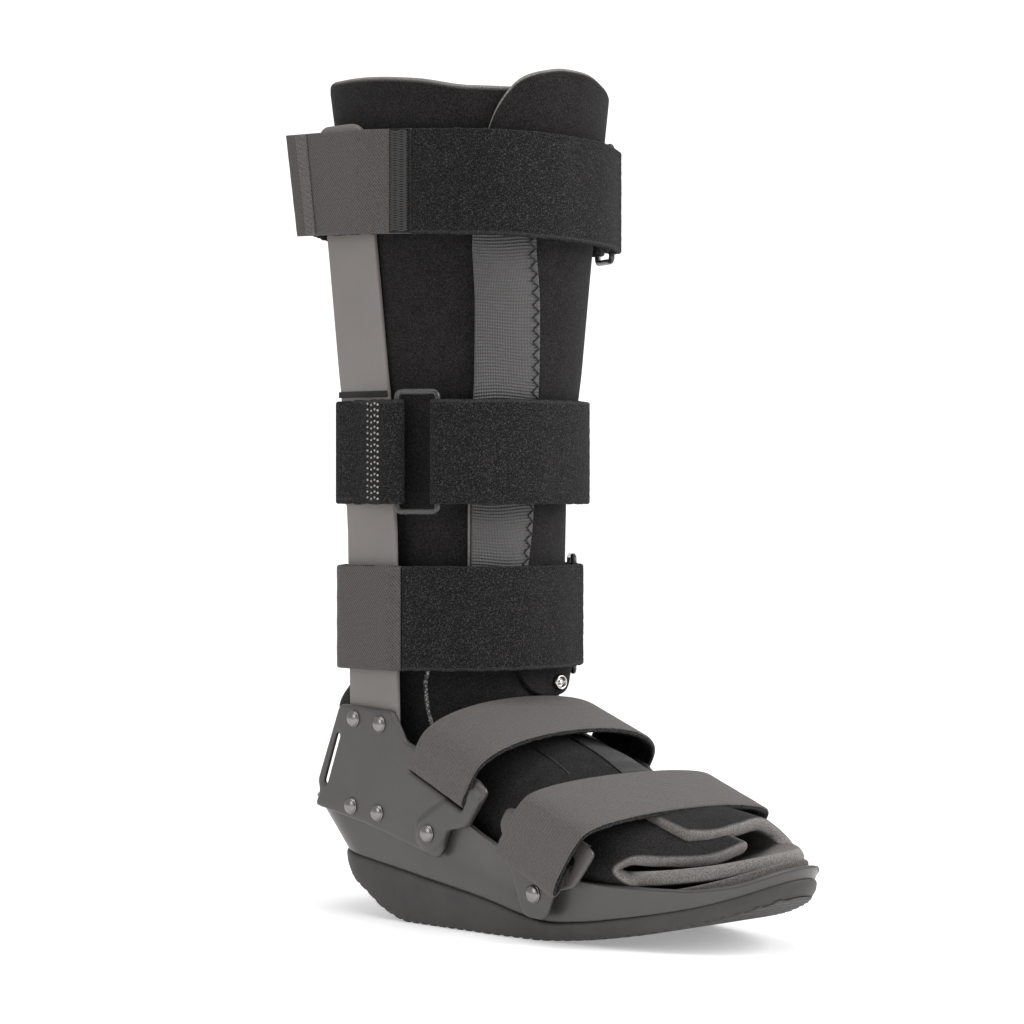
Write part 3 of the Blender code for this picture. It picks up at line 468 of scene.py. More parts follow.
# Liner. Foam about 5 mm thick with a fine black brushed face, sewn into a tube that bends round the heel into
# the foot. The cut foam shows pale grey along its top edge, and the cloth gathers in soft folds in front of
# the ankle.
LEG_TOP_Z = 0.4100
LEG_HALF_WIDTH = 0.0632
LEG_HALF_DEPTH = 0.0728
ANKLE_Y = 0.072
FOAM_THICKNESS = 0.0050
INSTEP_Z = 0.1120
FOOT_HALF_WIDTH = 0.0490
LINER_COLUMNS = 248
LEG_ROWS = 96
FOOT_ROWS_EACH = 12
FOLD_ARCH = 0.012
FOLD_REACH = 0.75
SWELL_RISE = 0.0007
#                         height  width  depth  middle
LEG_SECTIONS = np.array(((0.395, 0.770, 0.706, 1.000),
                         (0.500, 0.782, 0.719, 1.000),
                         (0.656, 0.857, 0.806, 0.958),
                         (0.793, 0.902, 0.863, 0.930),
                         (0.939, 0.962, 0.954, 0.905),
                         (1.000, 1.000, 1.000, 0.912)))
#                          front_y front_z back_y   lift  width  square
FOOT_SECTIONS = np.array(((0.170, 1.223, 0.930, 0.690, 0.980, 2.00),
                          (0.195, 1.080, 1.035, 0.460, 0.975, 2.10),
                          (0.187, 0.965, 0.975, 0.230, 0.960, 2.10),
                          (0.105, 0.880, 0.830, 0.045, 0.940, 2.15),
                          (0.010, 0.820, 0.600, 0.000, 0.945, 2.20),
                          (-0.150, 0.735, 0.300, 0.000, 0.970, 2.50),
                          (-0.300, 0.630, -0.030, 0.000, 0.995, 2.80),
                          (-0.450, 0.555, -0.300, 0.000, 0.990, 2.80)))
#                      turn    top edge's height
LINER_TOP = np.array(((-3.142, 0.4130),
                      (-2.360, 0.4128),
                      (-2.000, 0.4112),
                      (-1.600, 0.4096),
                      (-1.200, 0.4068),
                      (-0.800, 0.4025),
                      (0.000, 0.4015),
                      (1.200, 0.4050),
                      (2.200, 0.4110),
                      (3.142, 0.4130)))
#                        turn    z    spread rise, folds in front of the ankle and down the near side
ANKLE_FOLDS = np.array(((-0.75, 0.137, 0.0030, 0.0016),
                        (-0.45, 0.128, 0.0026, -0.0018),
                        (-0.20, 0.121, 0.0030, 0.0022),
                        (-0.60, 0.116, 0.0034, -0.0016)))


def leg_section(z):
    """Half width, half depth and middle y of the liner's outside at heights."""
    share = np.asarray(z) / LEG_TOP_Z
    width, depth, middle = (np.interp(share, LEG_SECTIONS[:, 0], LEG_SECTIONS[:, column])
                            for column in (1, 2, 3))
    return LEG_HALF_WIDTH * width, LEG_HALF_DEPTH * depth, ANKLE_Y * middle


def leg_point(turn, z, out):
    """Points round the leg: turn is 0 at the front and grows towards +X, out is the distance off the
    liner."""
    half_width, half_depth, middle = leg_section(z)
    turn, z = np.broadcast_arrays(turn, z)
    return np.stack([(half_width + out) * np.sin(turn), middle - (half_depth + out) * np.cos(turn), z],
                    axis=-1)


def foot_length(share):
    """A share of the boot's length behind or ahead of the origin, in metres."""
    return np.where(share > 0, share * SOLE_HEEL_Y, -share * SOLE_TOE_Y)


def foot_rings(table):
    """Absolute front y, front z, back y, back z, half width and squareness of the fan of foot sections."""
    front_y, front_z, back_y, lift, width, square = table.T
    back_z = footbed_height(foot_length(back_y)) + 2 * GAP + lift * INSTEP_Z
    return np.column_stack([foot_length(front_y), front_z * INSTEP_Z, foot_length(back_y), back_z,
                            width * FOOT_HALF_WIDTH, square])


def ring_points(rings, turns):
    """Rounded-square sections: the front-to-back reach times |cos| to 2/square, the half width times |sin|
    so."""
    front_y, front_z, back_y, back_z, width, square = (column[:, None] for column in rings.T)
    along = np.sign(np.cos(turns)) * np.abs(np.cos(turns)) ** (2 / square)
    across = np.sign(np.sin(turns)) * np.abs(np.sin(turns)) ** (2 / square)
    return np.stack([width * across, (front_y + back_y) / 2 + (front_y - back_y) / 2 * along,
                     (front_z + back_z) / 2 + (front_z - back_z) / 2 * along], axis=-1)


def normals_of(grid, around=False):
    """Unit normals of a grid, from the cross product of its steps along rows and columns."""
    wrapped = np.concatenate([grid[:, -1:], grid, grid[:, :1]], axis=1) if around else grid
    across = np.gradient(wrapped, axis=1)
    if around:
        across = across[:, 1:-1]
    normal = np.cross(across, np.gradient(grid, axis=0))
    return normal / np.maximum(np.linalg.norm(normal, axis=2, keepdims=True), 1e-12)


def paint(piece, name, values):
    """Store one number for each point of a mesh."""
    stored = piece.data.attributes.new(name, "FLOAT", "POINT")
    stored.data.foreach_set("value", np.asarray(values, np.float32).ravel())


turns = 2 * pi * np.arange(LINER_COLUMNS) / LINER_COLUMNS
signed_turn = (turns + pi) % (2 * pi) - pi
top_line = smooth_read(LINER_TOP, 1, signed_turn)
leg_low = LEG_SECTIONS[0, 0] * LEG_TOP_Z
fall = np.linspace(1.0, 0.0, LEG_ROWS)[:, None]
leg_grid = leg_point(turns[None], leg_low + (top_line - leg_low)[None] * fall, 0.0)
half_width, half_depth, middle = leg_section(leg_low)
ankle_ring = (middle - half_depth, leg_low, middle + half_depth, leg_low, half_width, 2.0)
rings = np.vstack([ankle_ring, foot_rings(FOOT_SECTIONS)])
places = np.linspace(0, len(rings) - 1, FOOT_ROWS_EACH * (len(rings) - 1) + 1)[1:]
indexed = np.column_stack([np.arange(len(rings)), rings])
fan = np.column_stack([smooth_read(indexed, column + 1, places) for column in range(6)])
outer = np.concatenate([leg_grid, ring_points(fan, turns[None])])
outward = -normals_of(outer, around=True)
height = outer[..., 2]
folds = np.zeros(outer.shape[:2])
for turn, z, spread, rise in ANKLE_FOLDS:
    arc = z + FOLD_ARCH * np.cos((signed_turn - turn) * 1.6)
    folds += (rise * np.exp(-((height - arc) / spread) ** 2)
              * np.exp(-((signed_turn - turn) / FOLD_REACH) ** 4))
swell = SWELL_RISE * np.sin(height * 90 + 2 * np.sin(3 * turns)) * np.clip((0.2 - height) / 0.05, 0, 1)
outer = outer + outward * (folds + swell)[..., None]
edge_turn = np.linspace(0, pi, 9)[1:-1]


def ring_shell(outer, outward, thickness):
    """A closed wall behind an outer grid whose columns go all the way round. Its first and last rows end in
    half circles. Returns the grid, whose rows close on themselves, and how far round each row lies: 0 on the
    outer face, 1 on the inner face and between them on the edges."""
    inner = outer - outward * thickness
    middle = (outer + inner) / 2
    ends = []
    for lip, at in ((unit(middle[-1] - middle[-2]), -1), (unit(middle[0] - middle[1]), 0)):
        half = (outer[at] - inner[at]) / 2
        sign = 1 if at == -1 else -1
        ends.append(np.array([middle[at] + sign * half * np.cos(turn) + lip * thickness / 2 * np.sin(turn)
                              for turn in edge_turn]))
    face = np.concatenate([np.zeros(len(outer)), edge_turn / pi, np.ones(len(outer)), 1 - edge_turn / pi])
    return np.concatenate([outer, ends[0], inner[::-1], ends[1]]), face


def fabric_edge(face):
    """1 where cut foam shows, 0 under the brushed face."""
    return np.clip((face - 0.10) * 12, 0, 1)


wall, face = ring_shell(outer, outward, FOAM_THICKNESS)
liner = surface("liner_tube", wall, around=True, along=True)
paint(liner, "foam", np.repeat(fabric_edge(face), LINER_COLUMNS))
weld(liner)

CLOTH_COLOUR = (0.0075, 0.0070, 0.0070)
CLOTH_PALE = (0.034, 0.0320, 0.0315)


def maths(material, operation, *values):
    """One step of arithmetic on values or sockets."""
    slots = {"slot%d" % place: value for place, value in enumerate(values)}
    return node(material, "Math", {"operation": operation}, **slots).outputs[0]


def brushed_cloth(name, foam_colour):
    """Fine black napped cloth that turns to pale speckled foam where the piece's foam attribute is 1."""
    material, shader = finish(name, CLOTH_COLOUR, 0.95, Specular_IOR_Level=0.08, Sheen_Weight=0.03,
                              Sheen_Roughness=0.5)
    where = node(material, "TexCoord").outputs["Object"]
    nap = noise(material, where, 1400.0, Detail=3.0, Roughness=0.75)
    drift = noise(material, where, 130.0, Detail=3.0)
    both = maths(material, "MULTIPLY_ADD", drift, 0.12, nap)
    tone = two_tones(material, both, 0.48, 0.80, CLOTH_COLOUR, CLOTH_PALE)
    foam_tone, _ = cut_foam(material, where, foam_colour, 0.6)
    foam_share = node(material, "Attribute", {"attribute_name": "foam"}).outputs["Fac"]
    mixed = node(material, "Mix", {"data_type": "RGBA"}, slot0=foam_share, slot6=tone, slot7=foam_tone)
    tint(material, shader, mixed.outputs[2])
    bump(material, shader, both, 0.0005, 0.6)
    return material


liner_finish = brushed_cloth("liner_cloth", (0.165, 0.155, 0.148))
liner.data.materials.append(liner_finish)
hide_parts("liner")
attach(liner, "root")

# Toe wrap. The front of the liner ends in one long tongue of foam that lies on the insole, turns up at each
# side and folds over the toes: the near end lies below, the far end over it. Its cut edge is bare foam 7 mm
# thick.
WRAP_THICKNESS = 0.0068
WRAP_ROWS = 34
WRAP_COLUMNS = 300
WRAP_LENGTH = 0.24
WRAP_TUCK = 0.955
#                    place   x       y       z      turn   inner
TOE_WRAP = np.array(((0.000, -0.0215, -0.1005, 0.0520, -0.36, 1.00),
                     (0.080, -0.0100, -0.1060, 0.0515, -0.14, 1.00),
                     (0.180, 0.0060, -0.1085, 0.0534, 0.15, 1.00),
                     (0.260, 0.0225, -0.1080, 0.0545, 0.60, 1.00),
                     (0.320, 0.0335, -0.1065, 0.0500, 1.10, 1.00),
                     (0.380, 0.0350, -0.1160, 0.0440, 1.90, 1.00),
                     (0.440, 0.0250, -0.1310, 0.0425, 2.50, 1.00),
                     (0.530, 0.0060, -0.1400, 0.0424, 3.05, 1.00),
                     (0.620, -0.0130, -0.1345, 0.0401, 3.50, 1.00),
                     (0.700, -0.0285, -0.1175, 0.0362, 3.95, 1.00),
                     (0.755, -0.0385, -0.0985, 0.0336, 4.30, 1.00),
                     (0.785, -0.0430, -0.0870, 0.0326, 4.50, 1.00),
                     (0.810, -0.0455, -0.0805, 0.0368, 4.75, 1.00),
                     (0.835, -0.0430, -0.0860, 0.0408, 5.00, 0.97),
                     (0.875, -0.0345, -0.0985, 0.0412, 5.35, 0.93),
                     (0.935, -0.0190, -0.1130, 0.0418, 5.85, 0.88),
                     (1.000, 0.0030, -0.1175, 0.0470, 6.35, 0.85)))


def read_curve(table, places):
    """Every later column of a table at places, along a cubic through its rows whose slopes look to both
    sides."""
    xs, ys = table[:, 0], table[:, 1:]
    slope = np.gradient(ys, xs, axis=0)
    cell = np.clip(np.searchsorted(xs, places) - 1, 0, len(xs) - 2)
    step = (xs[cell + 1] - xs[cell])[:, None]
    s = (np.asarray(places)[:, None] - xs[cell][:, None]) / step
    return ((1 + 2 * s) * (1 - s) ** 2 * ys[cell] + s * (1 - s) ** 2 * step * slope[cell]
            + s ** 2 * (3 - 2 * s) * ys[cell + 1] + s ** 2 * (s - 1) * step * slope[cell + 1])


def end_rounding(count, length, radius):
    """Places from 0 to 1 that crowd at both ends, and the share of full thickness there, as two half
    circles."""
    turn = np.linspace(0, pi / 2, 7)
    cap = radius * (1 - np.cos(turn)) / length
    places = np.concatenate([cap, np.linspace(cap[-1], 1 - cap[-1], count)[1:-1], 1 - cap[::-1]])
    near_end = np.clip(np.minimum(places, 1 - places) * length / radius, 0, 1)
    return places, np.sqrt(1 - (1 - near_end) ** 2)


wrap_places, wrap_full = end_rounding(WRAP_COLUMNS, WRAP_LENGTH, WRAP_THICKNESS / 2)
wrap = read_curve(TOE_WRAP, wrap_places)
edge_line, wrap_turn, inner_share = wrap[:, :3], wrap[:, 3], wrap[:, 4]
last = fan[-1:]
back_ring = ring_points(last, wrap_turn[None])[0]
back_middle = np.array((0.0, (last[0, 0] + last[0, 2]) / 2, (last[0, 1] + last[0, 3]) / 2))
back_line = back_middle + (back_ring - back_middle) * (WRAP_TUCK * inner_share[:, None])
ease = np.linspace(0, 1, WRAP_ROWS)[:, None, None]
blend = ease ** 2 * (3 - 2 * ease) * 0.45 + ease * 0.55
middle_grid = edge_line[None] * (1 - blend) + back_line[None] * blend
wrap_normal = -normals_of(middle_grid)
half = wrap_normal * (WRAP_THICKNESS / 2 * wrap_full)[None, :, None]
front_lip = unit(middle_grid[0] - middle_grid[1])
nose = np.array([middle_grid[0] + half[0] * np.cos(turn) + front_lip
                 * (WRAP_THICKNESS * 0.28 * wrap_full)[:, None]
                 * np.sin(turn) for turn in edge_turn])
wrap_wall = np.concatenate([(middle_grid - half)[::-1], nose[::-1], middle_grid + half])
face = np.concatenate([np.zeros(WRAP_ROWS), 1 - edge_turn[::-1] / pi, np.ones(WRAP_ROWS)])
toe_wrap = surface("toe_wrap", wrap_wall, along=True)
paint(toe_wrap, "foam", np.maximum(fabric_edge(face)[:, None], np.clip(3 * (1 - wrap_full), 0, 1)[None]))
weld(toe_wrap)
toe_wrap.data.materials.append(liner_finish)
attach(toe_wrap, "root")

# Front flap. The liner's second layer, which closes over the shin from the far side. It has the same black
# brushed face, and its rounded near corner and upper edge are cut foam.
FLAP_THICKNESS = 0.0036
FLAP_GAP = 0.0008
FLAP_LEFT_TURN = -0.69
FLAP_RIGHT_TURN = 1.16
FLAP_CORNER_TURN = 0.30
FLAP_CORNER_FALL = 0.028
FLAP_ROWS = 150
FLAP_COLUMNS = 140
FLAP_EDGE = 0.0030
#                      turn    top edge's height
FLAP_TOP = np.array(((-0.69, 0.3940),
                     (-0.60, 0.4010),
                     (-0.45, 0.4085),
                     (-0.30, 0.4120),
                     (-0.10, 0.4140),
                     (0.10, 0.4135),
                     (0.40, 0.4095),
                     (0.65, 0.4072),
                     (1.16, 0.4060)))


def two_sided(middle_grid, thickness, rise, relief=None):
    """A closed sheet with rounded edges, from its middle surface and the share of full thickness at each
    point, which falls to 0 at all four edges. Relief is added on its outer face. Returns the grid of both
    faces, whose columns close on themselves, and 0 on the outer face, 1 on the inner one and 0.5 on the
    edges."""
    outward = -normals_of(middle_grid)
    lift = rise * thickness / 2
    outer = middle_grid + outward * (lift if relief is None else lift + relief * rise)[..., None]
    inner = middle_grid - outward * lift[..., None]
    side = np.concatenate([0.5 * (1 - rise), 0.5 + 0.5 * rise[:, -2:0:-1]], axis=1)
    return np.concatenate([outer, inner[:, -2:0:-1]], axis=1), side


def leg_layer(name, left, right, low, top, out, thickness, rows, columns):
    """A closed sheet laid round the leg between two turns, from a height up to a top line given for each
    turn."""
    width = (right - left) * LEG_HALF_WIDTH
    across, across_rise = end_rounding(columns, width, FLAP_EDGE)
    up, up_rise = end_rounding(rows, LEG_TOP_Z - low, FLAP_EDGE)
    turns = left + (right - left) * across
    grid = leg_point(turns[None], low + (top(turns) - low)[None] * (1 - up)[:, None], out)
    sheet_grid, side = two_sided(grid, thickness, np.minimum(up_rise[:, None], across_rise[None]))
    piece = surface(name, sheet_grid, around=True)
    paint(piece, "foam", np.clip((side - 0.06) * 12, 0, 1))
    weld(piece)
    return piece


def flap_top(turns):
    """The flap's upper edge: the table's line, with a quarter round at the near corner."""
    line = smooth_read(FLAP_TOP, 1, turns)
    corner = np.clip((FLAP_CORNER_TURN - (turns - FLAP_LEFT_TURN)) / FLAP_CORNER_TURN, 0, 1)
    return line - FLAP_CORNER_FALL * (1 - np.sqrt(1 - corner ** 2 * 0.9999)) * 0.6


flap = leg_layer("front_flap_layer", FLAP_LEFT_TURN, FLAP_RIGHT_TURN, leg_low, flap_top,
                 FLAP_GAP + FLAP_THICKNESS / 2, FLAP_THICKNESS, FLAP_ROWS, FLAP_COLUMNS)
flap.data.materials.append(liner_finish)
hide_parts("front_flap")
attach(flap, "root")

# Mesh panel. Knitted elastic, ribbed across, sewn down the flap's near edge with a black zigzag stitch. Its
# shiny ribs catch the light near the stitched edge.
MESH_THICKNESS = 0.0010
MESH_WIDTH = 0.030
MESH_DROP = 0.031
MESH_LOW_Z = 0.168
MESH_ROWS = 540
MESH_COLUMNS = 32
RIB_STEP = 0.00155
RIB_RISE = 0.00035
STITCH_PITCH = 0.0060
STITCH_WIDTH = 0.0036
STITCH_THREAD = 0.00045
#                        height  left   right
MESH_EDGES = np.array(((0.168, -0.662, -0.120),
                       (0.204, -0.660, -0.055),
                       (0.256, -0.690, -0.120),
                       (0.302, -0.715, -0.180),
                       (0.330, -0.750, -0.250),
                       (0.379, -0.760, -0.300)))


def end_rows(count):
    """Share of full thickness at each row: it falls to 0 over the first three rows and the last three."""
    return np.clip(np.minimum(np.arange(count), np.arange(count)[::-1]) / 3, 0, 1)[:, None]


mesh_z = np.linspace(LEG_TOP_Z - MESH_DROP, MESH_LOW_Z, MESH_ROWS)
mesh_left, mesh_right = smooth_read(MESH_EDGES, 1, mesh_z), smooth_read(MESH_EDGES, 2, mesh_z)
across, across_rise = end_rounding(MESH_COLUMNS, MESH_WIDTH, MESH_THICKNESS / 2)
mesh_turn = mesh_left[:, None] + (mesh_right - mesh_left)[:, None] * across[None]
mesh_rise = np.minimum(across_rise[None], end_rows(MESH_ROWS))
mesh_out = FLAP_GAP + FLAP_THICKNESS + GAP + MESH_THICKNESS / 2
mesh_middle = leg_point(mesh_turn, mesh_z[:, None], mesh_out)
ribs = RIB_RISE * np.sin(2 * pi * (mesh_z[:, None] + 0.0007 * np.sin(mesh_turn * 9 + mesh_z[:, None] * 60))
                         / RIB_STEP)
mesh_grid, _ = two_sided(mesh_middle, MESH_THICKNESS, mesh_rise, ribs * (mesh_rise > 0.6))
mesh_panel = surface("mesh_panel_ribbed", mesh_grid, around=True)
weld(mesh_panel)
MESH_COLOUR = (0.046, 0.043, 0.043)


def lengths_map(material):
    """The lengths map's X, along a grid's columns, and Y, along its rows."""
    lengths = node(material, "UVMap", {"uv_map": "lengths"}).outputs["UV"]
    return node(material, "SeparateXYZ", Vector=lengths).outputs


def waves(material, lengths, pitch):
    """A sine wave along lengths, one wave to a pitch."""
    return maths(material, "SINE", maths(material, "MULTIPLY", lengths, 2 * pi / pitch))


def knit(name, colour, wale, sheen):
    """Shiny knitted elastic: fine wales along X of its lengths map over ribs in the mesh itself."""
    material, shader = finish(name, colour, 0.42, Specular_IOR_Level=0.5, Sheen_Weight=sheen)
    strands = waves(material, lengths_map(material)["X"], wale)
    fuzz = noise(material, node(material, "TexCoord").outputs["Object"], 1800.0, Detail=3.0)
    both = maths(material, "MULTIPLY_ADD", strands, 0.4, fuzz)
    dark, pale = np.multiply(colour, 0.45), np.multiply(colour, 1.5)
    tint(material, shader, two_tones(material, both, 0.2, 0.95, dark, pale))
    bump(material, shader, both, 0.0003, 0.7)
    return material


mesh_finish = knit("mesh_fabric", MESH_COLOUR, 0.0008, 0.3)
mesh_panel.data.materials.append(mesh_finish)
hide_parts("mesh_panel")
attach(mesh_panel, "root")


def cord(name, path, radius, sides=6, closed=False):
    """A round cord along a path, closed with a point at each end or joined into a loop."""
    path = np.asarray(path, float)
    steps = (np.roll(path, -1, axis=0) - np.roll(path, 1, axis=0)) if closed else np.gradient(path, axis=0)
    along = unit(steps)
    beside = unit(np.cross(along, (0.31, 0.17, 0.93)))
    above = np.cross(beside, along)
    around = 2 * pi * np.arange(sides) / sides
    size = np.full(len(path), radius)
    if not closed:
        size[0] = size[-1] = radius * 1e-4
    tube = path[:, None] + size[:, None, None] * (np.cos(around)[None, :, None] * beside[:, None]
                                                  + np.sin(around)[None, :, None] * above[:, None])
    piece = surface(name, tube, around=True, along=closed)
    weld(piece)
    return piece


zig = np.arange(MESH_LOW_Z + 0.002, LEG_TOP_Z - MESH_DROP, STITCH_PITCH / 6)
wave = 1 - 2 * np.abs(((zig / STITCH_PITCH) % 1) * 2 - 1)
zig_turn = smooth_read(MESH_EDGES, 2, zig) - (STITCH_WIDTH / 2 - STITCH_WIDTH / 2 * wave) / 0.060 - 0.01
zigzag = cord("mesh_zigzag", leg_point(zig_turn, zig, mesh_out + MESH_THICKNESS / 2 + RIB_RISE),
              STITCH_THREAD)
thread, _ = finish("black_thread", (0.006, 0.006, 0.006), 0.6)
zigzag.data.materials.append(thread)
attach(zigzag, "root")

# Uprights. Flat aluminium bars with rolled edges and a warm grey satin coat, one up each side. Each is
# riveted to its bracket, leans back a little and follows the calf outwards.
UPRIGHT_WIDTH = 0.0345
UPRIGHT_THICKNESS = 0.0028
UPRIGHT_Y = 0.0715
UPRIGHT_LEAN = 0.020
UPRIGHT_BEND_Z = 0.190
UPRIGHT_BACKSET = 0.052
UPRIGHT_FOOT_Z = 0.086
UPRIGHT_DROP = 0.020
UPRIGHT_CORNER_SHARE = 0.25
LEG_STRAP_SLACK = 0.0006
UPRIGHT_EDGE = 0.0010
UPRIGHT_COLOUR = (0.150, 0.136, 0.128)
UPRIGHT_ROWS = 240
SIDES = ((-1, "near"), (1, "far"))


def upright_line(z):
    """Outer x and middle y of an upright at heights: straight above the bracket, then out along the calf."""
    calf = leg_section(z)[0] + GAP + UPRIGHT_THICKNESS + LEG_STRAP_SLACK
    lean = np.clip(np.asarray(z) - UPRIGHT_FOOT_Z, 0, None) * UPRIGHT_LEAN
    backset = np.clip(np.asarray(z) - UPRIGHT_BEND_Z, 0, None) * UPRIGHT_BACKSET
    return np.maximum(SOLE_HALF_WIDTH, calf), UPRIGHT_Y + lean + backset


def rounded_bar(z, width, side):
    """Closed sections of the bar: a rectangle whose corners are quarter circles, one section to a height."""
    outer_x, middle_y = upright_line(z)
    turn = np.linspace(0, pi / 2, 5)
    radius = np.minimum(UPRIGHT_EDGE, width / 2.2)
    swing = np.concatenate([turn + k * pi / 2 for k in range(4)])
    across = np.repeat((1, -1, -1, 1), 5)[None]
    out = np.repeat((1, 1, -1, -1), 5)[None]
    y = across * (width / 2 - radius)[:, None] + radius[:, None] * np.cos(swing)[None]
    x = out * (UPRIGHT_THICKNESS / 2 - radius)[:, None] + radius[:, None] * np.sin(swing)[None]
    grid = np.stack([side * (outer_x[:, None] - UPRIGHT_THICKNESS / 2 + x), middle_y[:, None] + y,
                     np.broadcast_to(z[:, None], y.shape)], axis=-1)
    return grid[:, ::-1] if side < 0 else grid


top_corner = UPRIGHT_WIDTH * UPRIGHT_CORNER_SHARE
top_z = LEG_TOP_Z - UPRIGHT_DROP
corner_swing = np.linspace(0, pi / 2, 12)
bar_z = np.concatenate([[UPRIGHT_FOOT_Z], np.linspace(UPRIGHT_FOOT_Z, top_z - top_corner, UPRIGHT_ROWS),
                        top_z - top_corner + top_corner * np.sin(corner_swing[1:]), [top_z]])
bar_width = np.concatenate([[1e-5], np.full(UPRIGHT_ROWS, UPRIGHT_WIDTH),
                            UPRIGHT_WIDTH - 2 * top_corner * (1 - np.cos(corner_swing[1:])), [1e-5]])
coat, coat_shader = finish("upright_coat", UPRIGHT_COLOUR, 0.52, Specular_IOR_Level=0.5)
where = mottle(coat, coat_shader, UPRIGHT_COLOUR, np.multiply(UPRIGHT_COLOUR, 1.12), 30.0,
               roughness_swing=0.05, roughness=0.52)
grain = noise(coat, where, 2200.0, Detail=2.0)
bump(coat, coat_shader, grain, 0.0001, 0.5)
for side, label in SIDES:
    bar = surface("upright_bar_" + label, rounded_bar(bar_z, bar_width, side), around=True)
    weld(bar)
    bar.data.materials.append(coat)
    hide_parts("upright_" + label)
    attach(bar, "root")

# Side brackets. Stiff plates of the shell's plastic, moulded with rounded edges and riveted to its sides. The
# rear carries the upright, and the front ends in the instep strap's loop, with a raised ear round its rivet.
PLATE_THICKNESS = 0.0030
RING_THICKNESS = 0.0026
SLOT_LENGTH = 0.0418
SLOT_HEIGHT = 0.0070
SLOT_SLOPE = 0.411
SLOT_CORNER = 0.0012
REAR_SLOT_WIDTH = 0.0030
PLATE_EDGE = 0.0008
PLATE_GRAIN = 0.0008
EAR_RADIUS = 0.0100
EAR_RISE = 0.0016
RIVET_SHANK_RADIUS = 0.0022
BRACKET_OUTLINE = ((0.0930, 0.1050, 0.0055),
                   (0.0545, 0.1030, 0.0060),
                   (0.0455, 0.0890, 0.0060),
                   (-0.0040, 0.0735, 0.0050),
                   (-0.0110, 0.0680, 0.0035),
                   (0.0020, 0.0505, 0.0050),
                   (0.0150, 0.0480, 0.0040),
                   (0.0215, 0.0335, 0.0070),
                   (0.0320, 0.0360, 0.0080),
                   (0.0750, 0.0470, 0.0300),
                   (0.1115, 0.0535, 0.0020),
                   (0.1080, 0.0610, 0.0060),
                   (0.1095, 0.0660, 0.0060),
                   (0.0985, 0.0920, 0.0060))
REAR_SLOT = ((0.0945, 0.0890), (0.1035, 0.0660))
UPRIGHT_RIVETS = ((0.0823, 0.0980), (0.0635, 0.0963))
SHELL_RIVETS = ((0.0842, 0.0549), (0.0650, 0.0529))
INSTEP_PIVOT = (0.0280, 0.0459)
FOREFOOT_PIVOT = (-0.0415, 0.0232)
SLOT_FROM_RIVET = (0.0149, 0.0290)
FORWARD = np.array((-np.cos(SLOT_SLOPE), -np.sin(SLOT_SLOPE)))
UPWARD = np.array((-np.sin(SLOT_SLOPE), np.cos(SLOT_SLOPE)))
PLATE_OUTER_X = SOLE_HALF_WIDTH + GAP + PLATE_THICKNESS
RING_OUTER_X = SOLE_HALF_WIDTH + GAP + RING_THICKNESS


def rounded_outline(corners, steps=9):
    """Replace each corner of an outline by a quadratic arc of about its radius."""
    points = []
    for index, (y, z, radius) in enumerate(corners):
        here = np.array((y, z))
        before = np.array(corners[index - 1][:2]) - here
        after = np.array(corners[(index + 1) % len(corners)][:2]) - here
        before_length, after_length = np.hypot(*before), np.hypot(*after)
        before, after = before / before_length, after / after_length
        half_angle = 0.5 * np.arccos(np.clip(before @ after, -1, 1))
        reach = min(radius / np.tan(half_angle), 0.48 * before_length, 0.48 * after_length)
        s = np.linspace(0, 1, steps)[:, None]
        points.append((1 - s) ** 2 * (here + before * reach) + 2 * s * (1 - s) * here
                      + s ** 2 * (here + after * reach))
    return np.concatenate(points)


def strap_slot(pivot):
    """Outline of the slot that a foot strap passes through."""
    corner = np.array(pivot) + SLOT_FROM_RIVET
    far = corner + FORWARD * SLOT_LENGTH
    corners = (corner, far, far + UPWARD * SLOT_HEIGHT, corner + UPWARD * SLOT_HEIGHT)
    return rounded_outline([(*point, SLOT_CORNER) for point in corners])


def long_hole(start, end, width):
    """A slot with round ends between two centres."""
    start, end = np.array(start), np.array(end)
    along = (end - start) / np.hypot(*(end - start))
    across = np.array((-along[1], along[0]))
    turn = np.linspace(-pi / 2, pi / 2, 9)[:, None]
    halves = [centre + facing * (along * np.cos(turn) + across * np.sin(turn)) * width / 2
              for centre, facing in ((end, 1), (start, -1))]
    return np.concatenate(halves)


